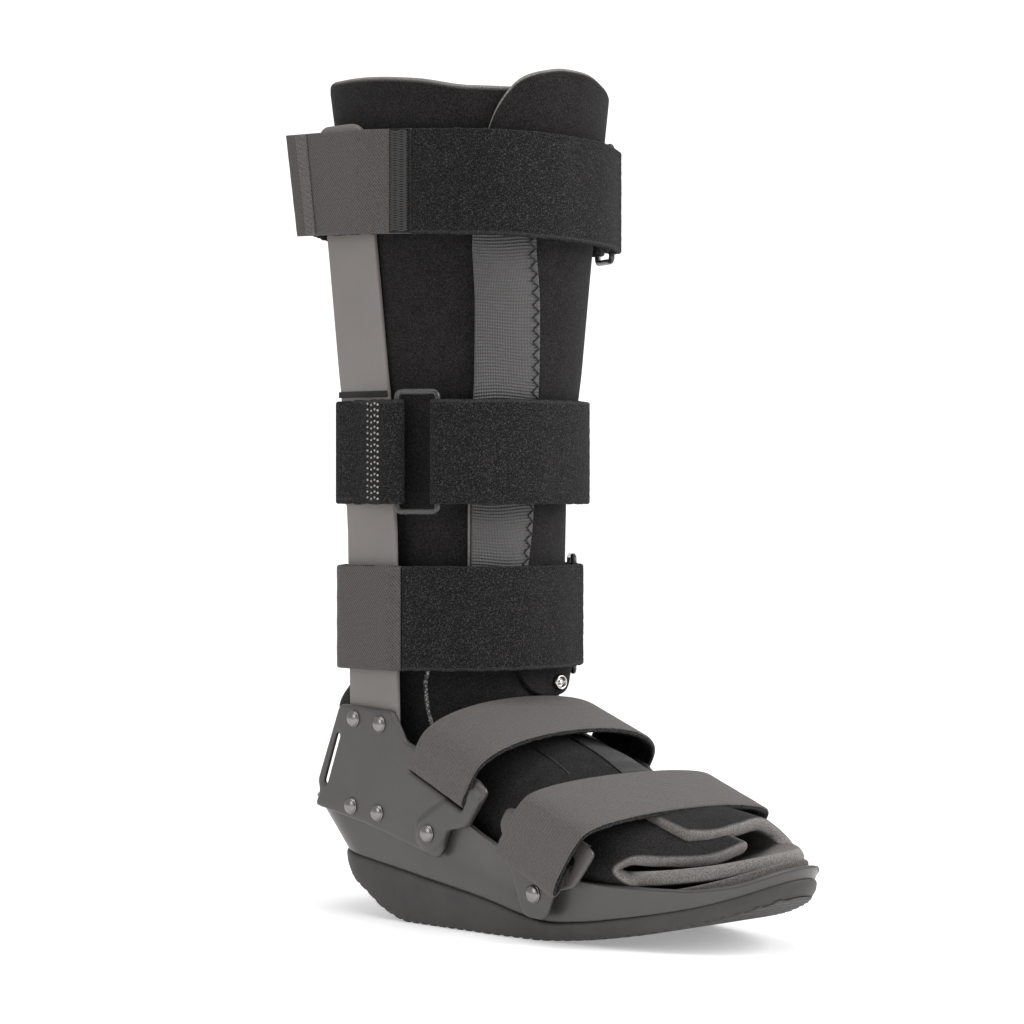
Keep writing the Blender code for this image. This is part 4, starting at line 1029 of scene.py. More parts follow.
def moulded_plate(name, outline, holes, outer_x, thickness, side, relief):
    """A plate in a plane of constant x with rounded edges, remeshed finely, its outer face raised by
    relief(y, z)."""
    curve = bpy.data.curves.new(name, "CURVE")
    curve.dimensions = "2D"
    curve.fill_mode = "BOTH"
    curve.extrude = thickness / 2 - PLATE_EDGE
    curve.bevel_depth = PLATE_EDGE
    curve.bevel_resolution = 3
    curve.offset = -PLATE_EDGE
    for loop in [outline] + holes:
        spline = curve.splines.new("POLY")
        spline.points.add(len(loop) - 1)
        spline.points.foreach_set("co", np.column_stack([loop, 0 * loop[:, 0], 0 * loop[:, 0] + 1]).ravel())
        spline.use_cyclic_u = True
    flat = bpy.data.objects.new(name + "_flat", curve)
    bpy.context.collection.objects.link(flat)
    mesh = bpy.data.meshes.new_from_object(flat.evaluated_get(bpy.context.evaluated_depsgraph_get()))
    bpy.data.objects.remove(flat, do_unlink=True)
    rough = bpy.data.objects.new(name + "_rough", mesh)
    bpy.context.collection.objects.link(rough)
    remesh = rough.modifiers.new("even", "REMESH")
    remesh.mode = "VOXEL"
    remesh.voxel_size = PLATE_GRAIN
    smooth = rough.modifiers.new("soft", "SMOOTH")
    smooth.factor = 0.5
    smooth.iterations = 2
    fine = bpy.data.meshes.new_from_object(rough.evaluated_get(bpy.context.evaluated_depsgraph_get()))
    bpy.data.objects.remove(rough, do_unlink=True)
    points = np.empty(len(fine.vertices) * 3, np.float32)
    fine.vertices.foreach_get("co", points)
    y, z, depth = points.reshape(-1, 3).T.astype(float)
    outer_face = np.clip(side * depth / thickness + 0.5, 0, 1)
    x = side * (outer_x - thickness / 2) + depth + side * outer_face * relief(y, z)
    fine.vertices.foreach_set("co", np.column_stack([x, y, z]).astype(np.float32).ravel())
    fine.polygons.foreach_set("use_smooth", np.ones(len(fine.polygons), bool))
    fine.name = name
    fine.materials.clear()
    fine.update()
    plate = bpy.data.objects.new(name, fine)
    bpy.context.collection.objects.link(plate)
    plate.data.materials.append(shell_finish)
    return plate


def ramp(value, low, high):
    """A smooth step from 0 at low to 1 at high."""
    share = np.clip((value - low) / (high - low), 0, 1)
    return share * share * (3 - 2 * share)


def ear(y, z):
    """The raised ear: a band from the instep rivet up to the loop's front post."""
    start, end = np.array(INSTEP_PIVOT), np.array((0.0010, 0.0615))
    along = end - start
    share = np.clip(((y - start[0]) * along[0] + (z - start[1]) * along[1]) / (along @ along), 0, 1)
    away = np.hypot(y - start[0] - share * along[0], z - start[1] - share * along[1])
    return EAR_RISE * ramp(-away, -EAR_RADIUS, -EAR_RADIUS + 0.0030)


def no_relief(y, z):
    """A flat outer face."""
    return 0 * y


holes = [strap_slot(INSTEP_PIVOT), long_hole(*REAR_SLOT, REAR_SLOT_WIDTH)]
for side, label in SIDES:
    bracket = moulded_plate("bracket_plate_" + label, rounded_outline(BRACKET_OUTLINE), holes, PLATE_OUTER_X,
                            PLATE_THICKNESS, side, ear)
    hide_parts("bracket_" + label)
    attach(bracket, "root")

# Forefoot rings. Loose plates of the same plastic, one on a rivet at each side of the shell, with the slot
# that the forefoot strap is looped through. Their front posts are round and catch a bright highlight.
RING_OUTLINE = ((0.0175, 0.0395, 0.0050),
                (-0.0310, 0.0265, 0.0050),
                (-0.0385, 0.0215, 0.0035),
                (-0.0255, 0.0050, 0.0050),
                (-0.0130, 0.0020, 0.0040),
                (-0.0075, -0.0120, 0.0065),
                (0.0080, -0.0110, 0.0080),
                (0.0230, 0.0310, 0.0060))
ring_corners = [(y + FOREFOOT_PIVOT[0], z + FOREFOOT_PIVOT[1], radius) for y, z, radius in RING_OUTLINE]
for side, label in SIDES:
    ring = moulded_plate("forefoot_ring_plate_" + label, rounded_outline(ring_corners),
                         [strap_slot(FOREFOOT_PIVOT)],
                         RING_OUTER_X, RING_THICKNESS, side, no_relief)
    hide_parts("forefoot_ring_" + label)
    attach(ring, "root")

# Rivets. Domed steel heads with a dark pewter plating and a thin flat flange, set through the plates.
RIVET_HEAD_RADIUS = 0.0042
RING_RIVET_HEAD_RADIUS = 0.0044
RIVET_HEAD_HEIGHT = 0.0024
RIVET_FLANGE = 0.0006
RIVET_SIDES = 40
rivet_finish, _ = finish("rivet_metal", (0.22, 0.21, 0.205), 0.22, Metallic=1.0)


def rivet(name, centre, outer_x, radius, side):
    """A turned rivet: a flange, a dome whose height falls as the cosine of the turn, and the shank behind
    it."""
    turn = np.linspace(0, pi / 2, 14)
    dome = radius - 0.0003
    radii = np.concatenate([[1e-6], dome * np.sin(turn[1:]), [radius - 0.0001, radius + 0.0001, radius],
                            [RIVET_SHANK_RADIUS, RIVET_SHANK_RADIUS, 1e-6]])
    base = outer_x + GAP / 3
    depths = np.concatenate([[base + RIVET_HEAD_HEIGHT], base + RIVET_FLANGE
                             + (RIVET_HEAD_HEIGHT - RIVET_FLANGE) * np.cos(turn[1:]),
                             [base + RIVET_FLANGE, base + RIVET_FLANGE / 2, base],
                             [base, SOLE_HALF_WIDTH + GAP, SOLE_HALF_WIDTH + GAP]])
    around = 2 * pi * np.arange(RIVET_SIDES) / RIVET_SIDES * side
    grid = np.stack([np.broadcast_to(side * depths[:, None], (len(depths), RIVET_SIDES)),
                     centre[0] + radii[:, None] * np.cos(around),
                     centre[1] + radii[:, None] * np.sin(around)], axis=-1)
    piece = surface(name + "_dome", grid, around=True)
    weld(piece)
    piece.data.materials.append(rivet_finish)
    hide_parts(name)
    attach(piece, "root")


for side, label in SIDES:
    for number, centre in enumerate(UPRIGHT_RIVETS + SHELL_RIVETS, 1):
        rivet("bracket_rivet_%s_%d" % (label, number), centre, PLATE_OUTER_X, RIVET_HEAD_RADIUS, side)
    rivet("instep_rivet_" + label, INSTEP_PIVOT, PLATE_OUTER_X + EAR_RISE, RING_RIVET_HEAD_RADIUS, side)
    rivet("forefoot_rivet_" + label, FOREFOOT_PIVOT, RING_OUTER_X, RING_RIVET_HEAD_RADIUS, side)

# Leg straps. Loop-pile webbing two inches wide, sewn round one bar of a plastic ring. Each goes round the leg
# and back through the ring. The top and lower ones end in a woven hook tab that holds on the pile. The top
# tab has a twisted hem near its loose end.
LEG_STRAP_WIDTH = 0.0508
LEG_STRAP_THICKNESS = 0.0024
TOP_STRAP_Z = LEG_TOP_Z - 0.0520
MIDDLE_STRAP_Z = 0.2290
LOWER_STRAP_Z = 0.1480
TAIL_LENGTH = 0.036
STRAP_RETURN = 0.024
STRAP_LAP_EASE = 0.020
TILT_PIVOT = 0.040
RUN_STEP = 0.0015
BUCKLE_WIDTH = 0.0235
BUCKLE_ROD = 0.0030
BUCKLE_MARGIN = 0.0052
BUCKLE_CORNER = 0.0030
BUCKLE_CLEARANCE = 0.0035
BAR_EASE = 0.0008
STRAP_STEP = 0.0012
STRAP_COLUMNS = 44
RAGGED_EDGE = 0.00028
PILE_RISE = 0.00035
HEM_FROM = 0.0085
HEM_TO = 0.0160
HEM_THICKNESS = 0.0010
TAIL_SLANT = -0.17
UNDER_OUT = LEG_STRAP_THICKNESS / 2
BAR_OUT = LEG_STRAP_THICKNESS + GAP + BUCKLE_ROD / 2
OVER_OUT = 1.5 * LEG_STRAP_THICKNESS + GAP
MESH_RIGHT_TURN = -0.15
#              height          hand  ring    tab     end     tail         tilt
LEG_STRAPS = {"top": (TOP_STRAP_Z, 1, 0.186, -0.165, -0.262, TAIL_LENGTH, 0.045),
              "middle": (MIDDLE_STRAP_Z, -1, 0.158, -0.270, -0.270, 0.0, 0.0),
              "lower": (LOWER_STRAP_Z, 1, 0.185, -0.174, -0.360, 0.0, 0.0)}


def flap_reach(turn):
    """How far the front flap and the mesh panel stand off the liner at turns."""
    flap_out = FLAP_GAP + FLAP_THICKNESS
    panel = (turn >= FLAP_LEFT_TURN) & (turn <= MESH_RIGHT_TURN)
    return np.where(panel, flap_out + GAP + MESH_THICKNESS,
                    np.where((turn >= FLAP_LEFT_TURN) & (turn <= FLAP_RIGHT_TURN), flap_out, 0.0))


def taut_line(z, hand):
    """The convex hull, seen from above, of the liner, its flap and both uprights at the strap's two edges.
    Returns its points, their outward directions, their shares of the way round from the front, and its
    length."""
    turn = np.linspace(-pi, pi, 241)
    solid = []
    for height in (z - LEG_STRAP_WIDTH / 2, z + LEG_STRAP_WIDTH / 2):
        solid.append(leg_point(turn, height, flap_reach(hand * turn))[:, :2])
        outer_x, middle_y = upright_line(height)
        corners = [(side * outer_x, middle_y + end * UPRIGHT_WIDTH / 2) for side in (-1, 1)
                   for end in (-1, 1)]
        solid.append(np.array(corners))
    solid = np.concatenate(solid)
    turns = np.linspace(-pi, pi, 1441)
    outward = np.stack([np.sin(turns), -np.cos(turns)], axis=1)
    line = solid[np.argmax(outward @ solid.T, axis=1)] + LEG_STRAP_SLACK * outward
    way = running(np.hypot(*np.diff(line, axis=0).T))
    return line, outward, (way - np.interp(0.0, turns, way)) / way[-1], way[-1]


def read_rows(rows, places, at):
    """Rows of numbers read between their own places, along straight lines."""
    return np.stack([np.interp(at, places, column) for column in rows.T], axis=-1)


def strap_frame(loop, place, out):
    """Points of a strap's line at places, a distance out from it, with the direction of growing place and the
    outward direction."""
    line, outward, places, _ = loop
    place = (np.asarray(place) - places[0]) % 1.0 + places[0]
    point = read_rows(line, places, place)
    away = unit(read_rows(outward, places, place))
    return point + np.asarray(out)[..., None] * away, np.stack([-away[..., 1], away[..., 0]], axis=-1), away


def strap_run(loop, start, end, out_start, out_end):
    """Points from one place to another. The distance out eases from one value to the other."""
    places = np.linspace(start, end, max(8, int(abs(end - start) * loop[3] / RUN_STEP)))
    ease = np.clip(1 - np.abs(places - start) * loop[3] / STRAP_LAP_EASE, 0, 1) ** 2
    return strap_frame(loop, places, out_end + (out_start - out_end) * ease)[0]


def bar_bend(bar, tangent, outward, side, first):
    """Half a turn round a ring's bar. first is -1 from under it and 1 from over it."""
    radius = BUCKLE_ROD / 2 + GAP + LEG_STRAP_THICKNESS / 2
    turn = np.linspace(0, pi, 12)[:, None]
    return bar + radius * (first * np.cos(turn) * outward + side * np.sin(turn) * tangent)


def even_path(points, step, smooth):
    """Space a path evenly and soften it: each point becomes the mean of its neighbours, a number of times.
    Lengths are run along the first three columns, and any others ride along."""
    way = running(np.linalg.norm(np.diff(points[:, :3], axis=0), axis=1))
    even = np.linspace(0, way[-1], max(12, int(way[-1] / step)))
    path = read_rows(points, way, even)
    for _ in range(smooth):
        path[1:-1] = (path[:-2] + 2 * path[1:-1] + path[2:]) / 4
    return path, way[-1]


def band(name, path, widths, width, thickness, step, columns, relief=None, smooth=6, shear=0.0, ragged=0.0):
    """A strap: a rounded flat section carried along a path, edge on to the width directions. Relief, given
    the lengths along and across, lifts its outer face. Shear slants the last end, and ragged is how far its
    long edges wander. Returns the piece and its length."""
    both = np.concatenate([path, widths], axis=1)
    even, length = even_path(both, step, smooth)
    spots, widths = even[:, :3], even[:, 3:]
    along_share, along_rise = end_rounding(len(even), length, thickness / 2)
    across_share, across_rise = end_rounding(columns, width, thickness / 2)
    at = along_share * (len(even) - 1)
    spots, widths = (read_rows(rows, np.arange(len(even)), at) for rows in (spots, widths))
    offset = (across_share - 0.5) * width
    wander = rng.normal(size=len(at))
    wander = 1 + 2 * ragged / width * (wander + np.roll(wander, 1) + np.roll(wander, 2)) / 3
    grid = spots[:, None] + widths[:, None] * (offset[None] * wander[:, None])[..., None]
    if shear:
        direction = unit(spots[-1] - spots[-8])
        slant = shear * offset[None] * ramp(along_share, 1 - 0.03 / length, 1)[:, None]
        grid += direction * slant[..., None]
    raised = None
    if relief is not None:
        raised = relief(along_share[:, None] * length, offset[None])
    thick, _ = two_sided(grid, thickness, np.minimum(along_rise[:, None], across_rise[None]), raised)
    piece = surface(name, thick, around=True)
    weld(piece)
    return piece, length


def pile_relief(along, across):
    """Tufts of loop pile: clumped waves of a few millimetres and loops at the scale of the grid."""
    shape = np.broadcast_shapes(along.shape, across.shape)
    tufts = rng.random(shape)
    clumps = np.sin(along * 900 + 3 * np.sin(across * 700)) * np.sin(across * 1100 + 2 * np.sin(along * 500))
    return PILE_RISE * (0.65 * tufts + 0.2 * clumps)


def woven_relief(along, across):
    """Slight unevenness of a woven tape."""
    return 0.00006 * np.sin(along * 300) * np.sin(across * 500)


def rope_relief(along, across):
    """Rope-like twists of a sewn hem, slanted across it."""
    return 0.00030 * np.sin(2 * pi * (across / 0.0026 + along / 0.0060))


PILE_COLOUR = (0.0060, 0.0058, 0.0058)
PILE_PALE = (0.060, 0.057, 0.057)


def loop_pile(name, dark, pale, width):
    """Matted black loop pile: pale specks of lit loops on near black, and a painted highlight along the edges
    of a strap of a width on its lengths map, where the real edge fuzz catches light, with a soft sheen at
    grazing angles."""
    material, shader = finish(name, dark, 1.0, Specular_IOR_Level=0.08, Sheen_Weight=0.03,
                              Sheen_Roughness=0.5)
    where = node(material, "TexCoord").outputs["Object"]
    loops = node(material, "TexVoronoi", {"feature": "F1"}, Vector=where, Scale=1600.0, Randomness=1.0)
    fuzz = noise(material, where, 2300.0, Detail=4.0, Roughness=0.8)
    both = maths(material, "MULTIPLY", loops.outputs["Distance"], fuzz)
    tone = two_tones(material, both, 0.20, 0.52, dark, pale)
    edge = maths(material, "ABSOLUTE", waves(material, lengths_map(material)["X"], 2 * width))
    # Painted highlight: the colour turns paler near the strap's long edges, standing for light caught by the
    # edge fuzz.
    rim = node(material, "MapRange", Value=edge, From_Min=0.01, From_Max=0.07, To_Min=0.35, To_Max=0.0)
    mixed = node(material, "Mix", {"data_type": "RGBA"}, slot0=rim.outputs["Result"], slot6=tone,
                 slot7=(*np.multiply(pale, 1.1), 1.0))
    tint(material, shader, mixed.outputs[2])
    bump(material, shader, both, 0.0012, 0.9)
    return material


def woven(name, colour, pick, end, slant=0.0, contrast=0.45):
    """Ribbed or twilled webbing on the lengths map: picks across it, ends along it, slanted for a twill."""
    material, shader = finish(name, colour, 0.85, Specular_IOR_Level=0.2, Sheen_Weight=0.06)
    lengths = lengths_map(material)
    threads = []
    for main, other, pitch in (("Y", "X", pick), ("X", "Y", end)):
        skewed = maths(material, "MULTIPLY_ADD", lengths[other], slant, lengths[main])
        threads.append(waves(material, skewed, pitch))
    weave = maths(material, "MULTIPLY_ADD", threads[0], 0.6, maths(material, "MULTIPLY", threads[1], 0.35))
    fuzz = noise(material, node(material, "TexCoord").outputs["Object"], 1500.0, Detail=3.0)
    both = maths(material, "MULTIPLY_ADD", weave, 0.28, fuzz)
    dark, pale = np.multiply(colour, 1 - contrast), np.multiply(colour, 1 + contrast)
    tint(material, shader, two_tones(material, both, 0.2, 0.85, dark, pale))
    bump(material, shader, both, 0.0003, 0.8)
    return material


pile = loop_pile("strap_pile", PILE_COLOUR, PILE_PALE, LEG_STRAP_WIDTH)
hook_weave = woven("hook_tab_weave", (0.072, 0.066, 0.064), 0.0015, 0.0013, slant=0.8, contrast=0.6)
smoky, _ = finish("buckle_plastic", (0.055, 0.053, 0.052), 0.16, Transmission_Weight=0.35, IOR=1.46)
UP = np.array((0.0, 0.0, 1.0))


def place_on_leg(flat, hand, z, tilt):
    """Plan points lifted to a strap's height. The whole strap tilts down towards the photographed right."""
    flat = np.asarray(flat) * (hand, 1.0)
    sideways = flat @ SIDEWAYS[:2]
    return np.column_stack([flat, z - tilt * (sideways + TILT_PIVOT)])


for name, (z, hand, ring_place, tab_place, end_place, tail, tilt) in LEG_STRAPS.items():
    loop = taut_line(z, hand)
    length = loop[3]
    centre, tangent, outward = strap_frame(loop, ring_place, BAR_OUT)
    reach = BUCKLE_WIDTH / 2 - BUCKLE_ROD / 2
    fixed_bar, pull_bar = centre + reach * tangent, centre - reach * tangent
    over = BAR_OUT + BUCKLE_ROD / 2 + GAP + LEG_STRAP_THICKNESS / 2 + BAR_EASE
    clear = (reach + BUCKLE_CLEARANCE) / length
    fixed_place, pull_place = ring_place + clear, ring_place - clear
    flat = np.concatenate([strap_run(loop, fixed_place, fixed_place + STRAP_RETURN / length, over,
                                     OVER_OUT)[::-1],
                           bar_bend(fixed_bar, tangent, outward, -1, 1),
                           strap_run(loop, fixed_place, 1.0 + pull_place, UNDER_OUT, UNDER_OUT),
                           bar_bend(pull_bar, tangent, outward, 1, -1),
                           strap_run(loop, pull_place, tab_place, over, OVER_OUT)])
    path = place_on_leg(flat, hand, z, tilt)
    widths = np.broadcast_to(UP * -hand, path.shape)
    strap, strap_length = band(name + "_strap_pile", path, widths, LEG_STRAP_WIDTH, LEG_STRAP_THICKNESS,
                               STRAP_STEP, STRAP_COLUMNS, pile_relief, ragged=RAGGED_EDGE)
    strap.data.materials.append(pile)
    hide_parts(name + "_strap")
    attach(strap, "root")
    if tab_place != end_place:
        tab = strap_run(loop, tab_place - GAP / length, end_place, OVER_OUT, OVER_OUT)
        if tail:
            last_point, direction, outward_there = strap_frame(loop, end_place, OVER_OUT)
            tab = np.concatenate([tab, last_point - direction * np.linspace(0.002, tail, 20)[:, None]])
        path = place_on_leg(tab, hand, z, tilt)
        widths = np.broadcast_to(UP * -hand, path.shape)
        piece, tab_length = band(name + "_hook_tab_woven", path, widths, LEG_STRAP_WIDTH, LEG_STRAP_THICKNESS,
                                 STRAP_STEP, STRAP_COLUMNS, woven_relief, shear=TAIL_SLANT if tail else 0.0)
        piece.data.materials.append(hook_weave)
        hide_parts(name + "_hook_tab")
        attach(piece, "root")
    if tail:
        back = (tail - np.linspace(HEM_TO, HEM_FROM, 12))[:, None]
        lifted = last_point + outward_there * (LEG_STRAP_THICKNESS + HEM_THICKNESS) / 2 - direction * back
        hem_path = place_on_leg(lifted, hand, z, tilt)
        hem, _ = band(name + "_tab_hem", hem_path, np.broadcast_to(UP * -hand, hem_path.shape),
                      LEG_STRAP_WIDTH - 0.0008, HEM_THICKNESS, 0.0006, 90, rope_relief, smooth=0,
                      shear=TAIL_SLANT)
        hem.data.materials.append(woven("tab_hem", (0.105, 0.097, 0.094), 0.0010, 0.0012, slant=0.5,
                                        contrast=0.6))
        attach(hem, "root")
    half = LEG_STRAP_WIDTH / 2 + BUCKLE_MARGIN - BUCKLE_ROD / 2
    corners = rounded_outline([(-reach, -half, BUCKLE_CORNER), (reach, -half, BUCKLE_CORNER),
                               (reach, half, BUCKLE_CORNER), (-reach, half, BUCKLE_CORNER)], 12)
    rod = place_on_leg(centre + corners[:, :1] * tangent, hand, z, tilt)
    rod[:, 2] += corners[:, 1]
    buckle = cord(name + "_buckle_ring", rod, BUCKLE_ROD / 2, sides=20, closed=True)
    buckle.data.materials.append(smoky)
    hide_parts(name + "_buckle")
    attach(buckle, "root")

# Foot straps. Fine ribbed webbing 40 mm wide with a black pile backing. Each is looped at both ends through a
# slot, the instep strap in the bracket and the forefoot strap in its loose ring, and lies over the foot.
SLOT_PLAY = 0.0004
FOOT_STRAP_WIDTH = 0.0400
FOOT_STRAP_THICKNESS = 0.0030
FOOT_STRAP_TUCK = 0.012
FOOT_STRAP_DROP = 0.0135
STRAP_BAR_HEIGHT = 0.0105
FOOT_STRAP_FAN = 0.15
ARCH_SQUARE = 2.15
WEAVE_LAYER = 0.0015
BACKING_LAYER = 0.0022
INSTEP_TOP = (0.0030, 0.1010)
FOREFOOT_TOP = (-0.0660, 0.0680)
foot_weave = woven("webbing_ribbed", (0.088, 0.081, 0.078), 0.0008, 0.0016, contrast=0.35)
backing = loop_pile("strap_backing", (0.009, 0.0085, 0.0085), (0.06, 0.057, 0.057), FOOT_STRAP_WIDTH)


def foot_strap_path(pivot, top, outer_x, plate_thickness, drop):
    """Half a foot strap, from the top of the foot to its near end inside the slot, and its width
    directions."""
    corner = np.array(pivot) + SLOT_FROM_RIVET
    centre = corner + FORWARD * SLOT_LENGTH / 2
    half = FOOT_STRAP_THICKNESS / 2
    outside = outer_x + GAP + half
    inside = outer_x - plate_thickness - GAP - half
    seat = SLOT_PLAY + half
    rise = (np.array(top) - centre) @ UPWARD
    lean = (np.array(top) - centre) @ FORWARD
    layer = FOOT_STRAP_THICKNESS + 2 * GAP if drop else 0.0
    foot = SLOT_HEIGHT + STRAP_BAR_HEIGHT + half
    turn = np.linspace(0, pi / 2, 60)
    rows = [np.column_stack([(outside + layer) * np.sin(turn) ** (2 / ARCH_SQUARE),
                             foot + (rise - foot) * np.abs(np.cos(turn)) ** (2 / ARCH_SQUARE)]),
            [(outside + layer, (foot + seat) / 2)]]
    if drop:
        fold = np.linspace(0, pi, 9)
        rows += [[(outside + layer, seat - drop / 2)],
                 np.column_stack([outside + layer / 2 + layer / 2 * np.cos(fold),
                                  seat - drop - layer / 2 * np.sin(fold)]),
                 [(outside, seat - half - SLOT_PLAY)]]
    else:
        rows += [[(outside, seat + half)]]
    rows += [[(outside - half, seat), (inside + half, seat), (inside, seat + half),
              (inside, seat + FOOT_STRAP_TUCK)]]
    rows = np.concatenate(rows)
    share = np.clip(rows[:, 1] - seat, 0, None) / (rise - seat)
    place = centre + UPWARD * rows[:, 1:] + FORWARD * (lean * share)[:, None]
    level = SLOT_SLOPE * (1 - FOOT_STRAP_FAN * share)
    return (np.column_stack([-rows[:, 0], place]),
            np.column_stack([0 * level, np.cos(level), np.sin(level)]))


for name, pivot, top, outer_x, plate, drop in (
        ("instep", INSTEP_PIVOT, INSTEP_TOP, PLATE_OUTER_X, PLATE_THICKNESS, 0.0),
        ("forefoot", FOREFOOT_PIVOT, FOREFOOT_TOP, RING_OUTER_X, RING_THICKNESS, FOOT_STRAP_DROP)):
    path, widths = foot_strap_path(pivot, top, outer_x, plate, drop)
    path = np.concatenate([path[::-1], path[1:] * (-1, 1, 1)])
    widths = np.concatenate([widths[::-1], widths[1:]])
    even, _ = even_path(np.concatenate([path, widths], axis=1), STRAP_STEP, 5)
    path, widths = even[:, :3], even[:, 3:]
    along = np.gradient(path, axis=0)
    face_out = unit(np.cross(along, widths))
    if face_out[len(face_out) // 2, 2] < 0:
        face_out = -face_out
    top_path = path + face_out * (FOOT_STRAP_THICKNESS - WEAVE_LAYER) / 2
    low_path = path - face_out * (FOOT_STRAP_THICKNESS - BACKING_LAYER) / 2
    strap, strap_length = band(name + "_strap_webbing", top_path, widths, FOOT_STRAP_WIDTH, WEAVE_LAYER,
                               STRAP_STEP, 36, woven_relief, smooth=1)
    strap.data.materials.append(foot_weave)
    under, _ = band(name + "_strap_backing", low_path, widths, FOOT_STRAP_WIDTH + 0.0012, BACKING_LAYER,
                    STRAP_STEP, 36, pile_relief, smooth=1, ragged=RAGGED_EDGE)
    under.data.materials.append(backing)
    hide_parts(name + "_strap")
    for piece in (strap, under):
        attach(piece, "root")

# Sewn details of the leg straps. Four rows of white bar tacks hold the middle strap's sewn loop, and a dark
# open lattice of thread joins the top strap's pile to its hook tab.
TACK_COLUMNS = 4
TACK_ROWS = 17
TACK_HALF_WIDTH = 0.00045
TACK_HALF_HEIGHT = 0.00055
TACK_HALF_DEPTH = 0.0006
TACK_STEP = 0.0035
TACK_START = 0.0008
TACK_STAGGER = 0.0007
LATTICE_WIDTH = 0.0105
LATTICE_PITCH = 0.0036
LATTICE_THREAD = 0.00042
LATTICE_STRANDS = 3


def on_strap(name, metres, start_place, up, lift, by_ring=0.0):
    """Points on the outside of a leg strap's outer lap, some metres on from a place and some up from its
    middle. by_ring is 1 where the place is at the ring, over whose bar the lap rises. Returns them and their
    outward directions."""
    z, hand, _, _, _, _, tilt = LEG_STRAPS[name]
    loop = taut_line(z, hand)
    bar_height = BAR_OUT + BUCKLE_ROD / 2 + GAP + LEG_STRAP_THICKNESS / 2 + BAR_EASE - OVER_OUT
    ease = np.clip(1 - metres / STRAP_LAP_EASE, 0, 1) ** 2 * by_ring
    out = OVER_OUT + LEG_STRAP_THICKNESS / 2 + lift + bar_height * ease
    flat, _, away = strap_frame(loop, start_place + metres / loop[3], out)
    spots = place_on_leg(flat, hand, z, tilt) + up[:, None] * UP
    return spots, np.column_stack([away * (hand, 1.0), 0 * up])


def beads(name, centres, outward, half_width, half_height, half_depth):
    """Many small flattened balls in one mesh, each of 6 by 8 faces."""
    swing = np.linspace(0, pi, 7)[:, None]
    around = (2 * pi * np.arange(8) / 8)[None]
    ball = np.stack([np.sin(swing) * np.cos(around), np.sin(swing) * np.sin(around),
                     np.cos(swing) + 0 * around], axis=-1)[None]
    tangent = np.cross(UP, outward)[:, None, None]
    points = (centres[:, None, None] + half_width * ball[..., :1] * tangent
              + half_depth * ball[..., 1:2] * outward[:, None, None] + half_height * ball[..., 2:] * UP)
    piece = surface(name, np.concatenate(list(points), axis=0), around=True)
    joins = np.arange(len(centres) - 1)[:, None] * 7 + 6
    shape = bmesh.new()
    shape.from_mesh(piece.data)
    shape.faces.ensure_lookup_table()
    between = [shape.faces[int(face)] for face in (joins * 8 + np.arange(8)[None]).ravel()]
    bmesh.ops.delete(shape, geom=between, context="FACES")
    shape.to_mesh(piece.data)
    shape.free()
    weld(piece)
    return piece


middle_loop = taut_line(MIDDLE_STRAP_Z, -1)
sewn_place = LEG_STRAPS["middle"][2] + ((BUCKLE_WIDTH - BUCKLE_ROD) / 2 + BUCKLE_CLEARANCE) / middle_loop[3]
tack_along, tack_up = np.meshgrid(TACK_START + TACK_STEP * np.arange(TACK_COLUMNS),
                                  np.linspace(-0.45, 0.45, TACK_ROWS) * LEG_STRAP_WIDTH)
tack_up = tack_up + TACK_STAGGER * (np.arange(TACK_COLUMNS)[None] % 2)
tack_spots, tack_out = on_strap("middle", tack_along.ravel(), sewn_place, tack_up.ravel(), 0.0004, 1.0)
tacks = beads("middle_strap_tacks", tack_spots, tack_out, TACK_HALF_WIDTH, TACK_HALF_HEIGHT, TACK_HALF_DEPTH)
white_thread, _ = finish("white_thread", (0.36, 0.345, 0.335), 0.7)
grey_thread, _ = finish("grey_thread", (0.026, 0.0245, 0.024), 0.7)
tacks.data.materials.append(white_thread)
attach(tacks, "root")
lattice_metres = np.linspace(-LATTICE_WIDTH - 0.0015, -0.0004, 24)
lattice_path, _ = on_strap("top", lattice_metres, LEG_STRAPS["top"][3], 0 * lattice_metres, 0.0002)
lattice_tape, _ = band("top_strap_lattice_tape", lattice_path[::-1], np.broadcast_to(-UP, lattice_path.shape),
                       LEG_STRAP_WIDTH - 0.0004, 0.0008, 0.0006, 60, smooth=0)
lattice_tape.data.materials.append(pile)
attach(lattice_tape, "root")
run = np.arange(-0.48 * LEG_STRAP_WIDTH, 0.48 * LEG_STRAP_WIDTH, LATTICE_PITCH / 12)
for strand in range(LATTICE_STRANDS):
    wave = 2 * np.abs((run / LATTICE_PITCH + strand / LATTICE_STRANDS) % 1 * 2 - 1) - 1
    spots, _ = on_strap("top", -LATTICE_WIDTH / 2 - 0.001 - LATTICE_WIDTH / 2 * wave, LEG_STRAPS["top"][3],
                        run, 0.0009)
    lattice = cord("top_strap_lattice_%d" % (strand + 1), spots, LATTICE_THREAD)
    lattice.data.materials.append(grey_thread)
    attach(lattice, "root")

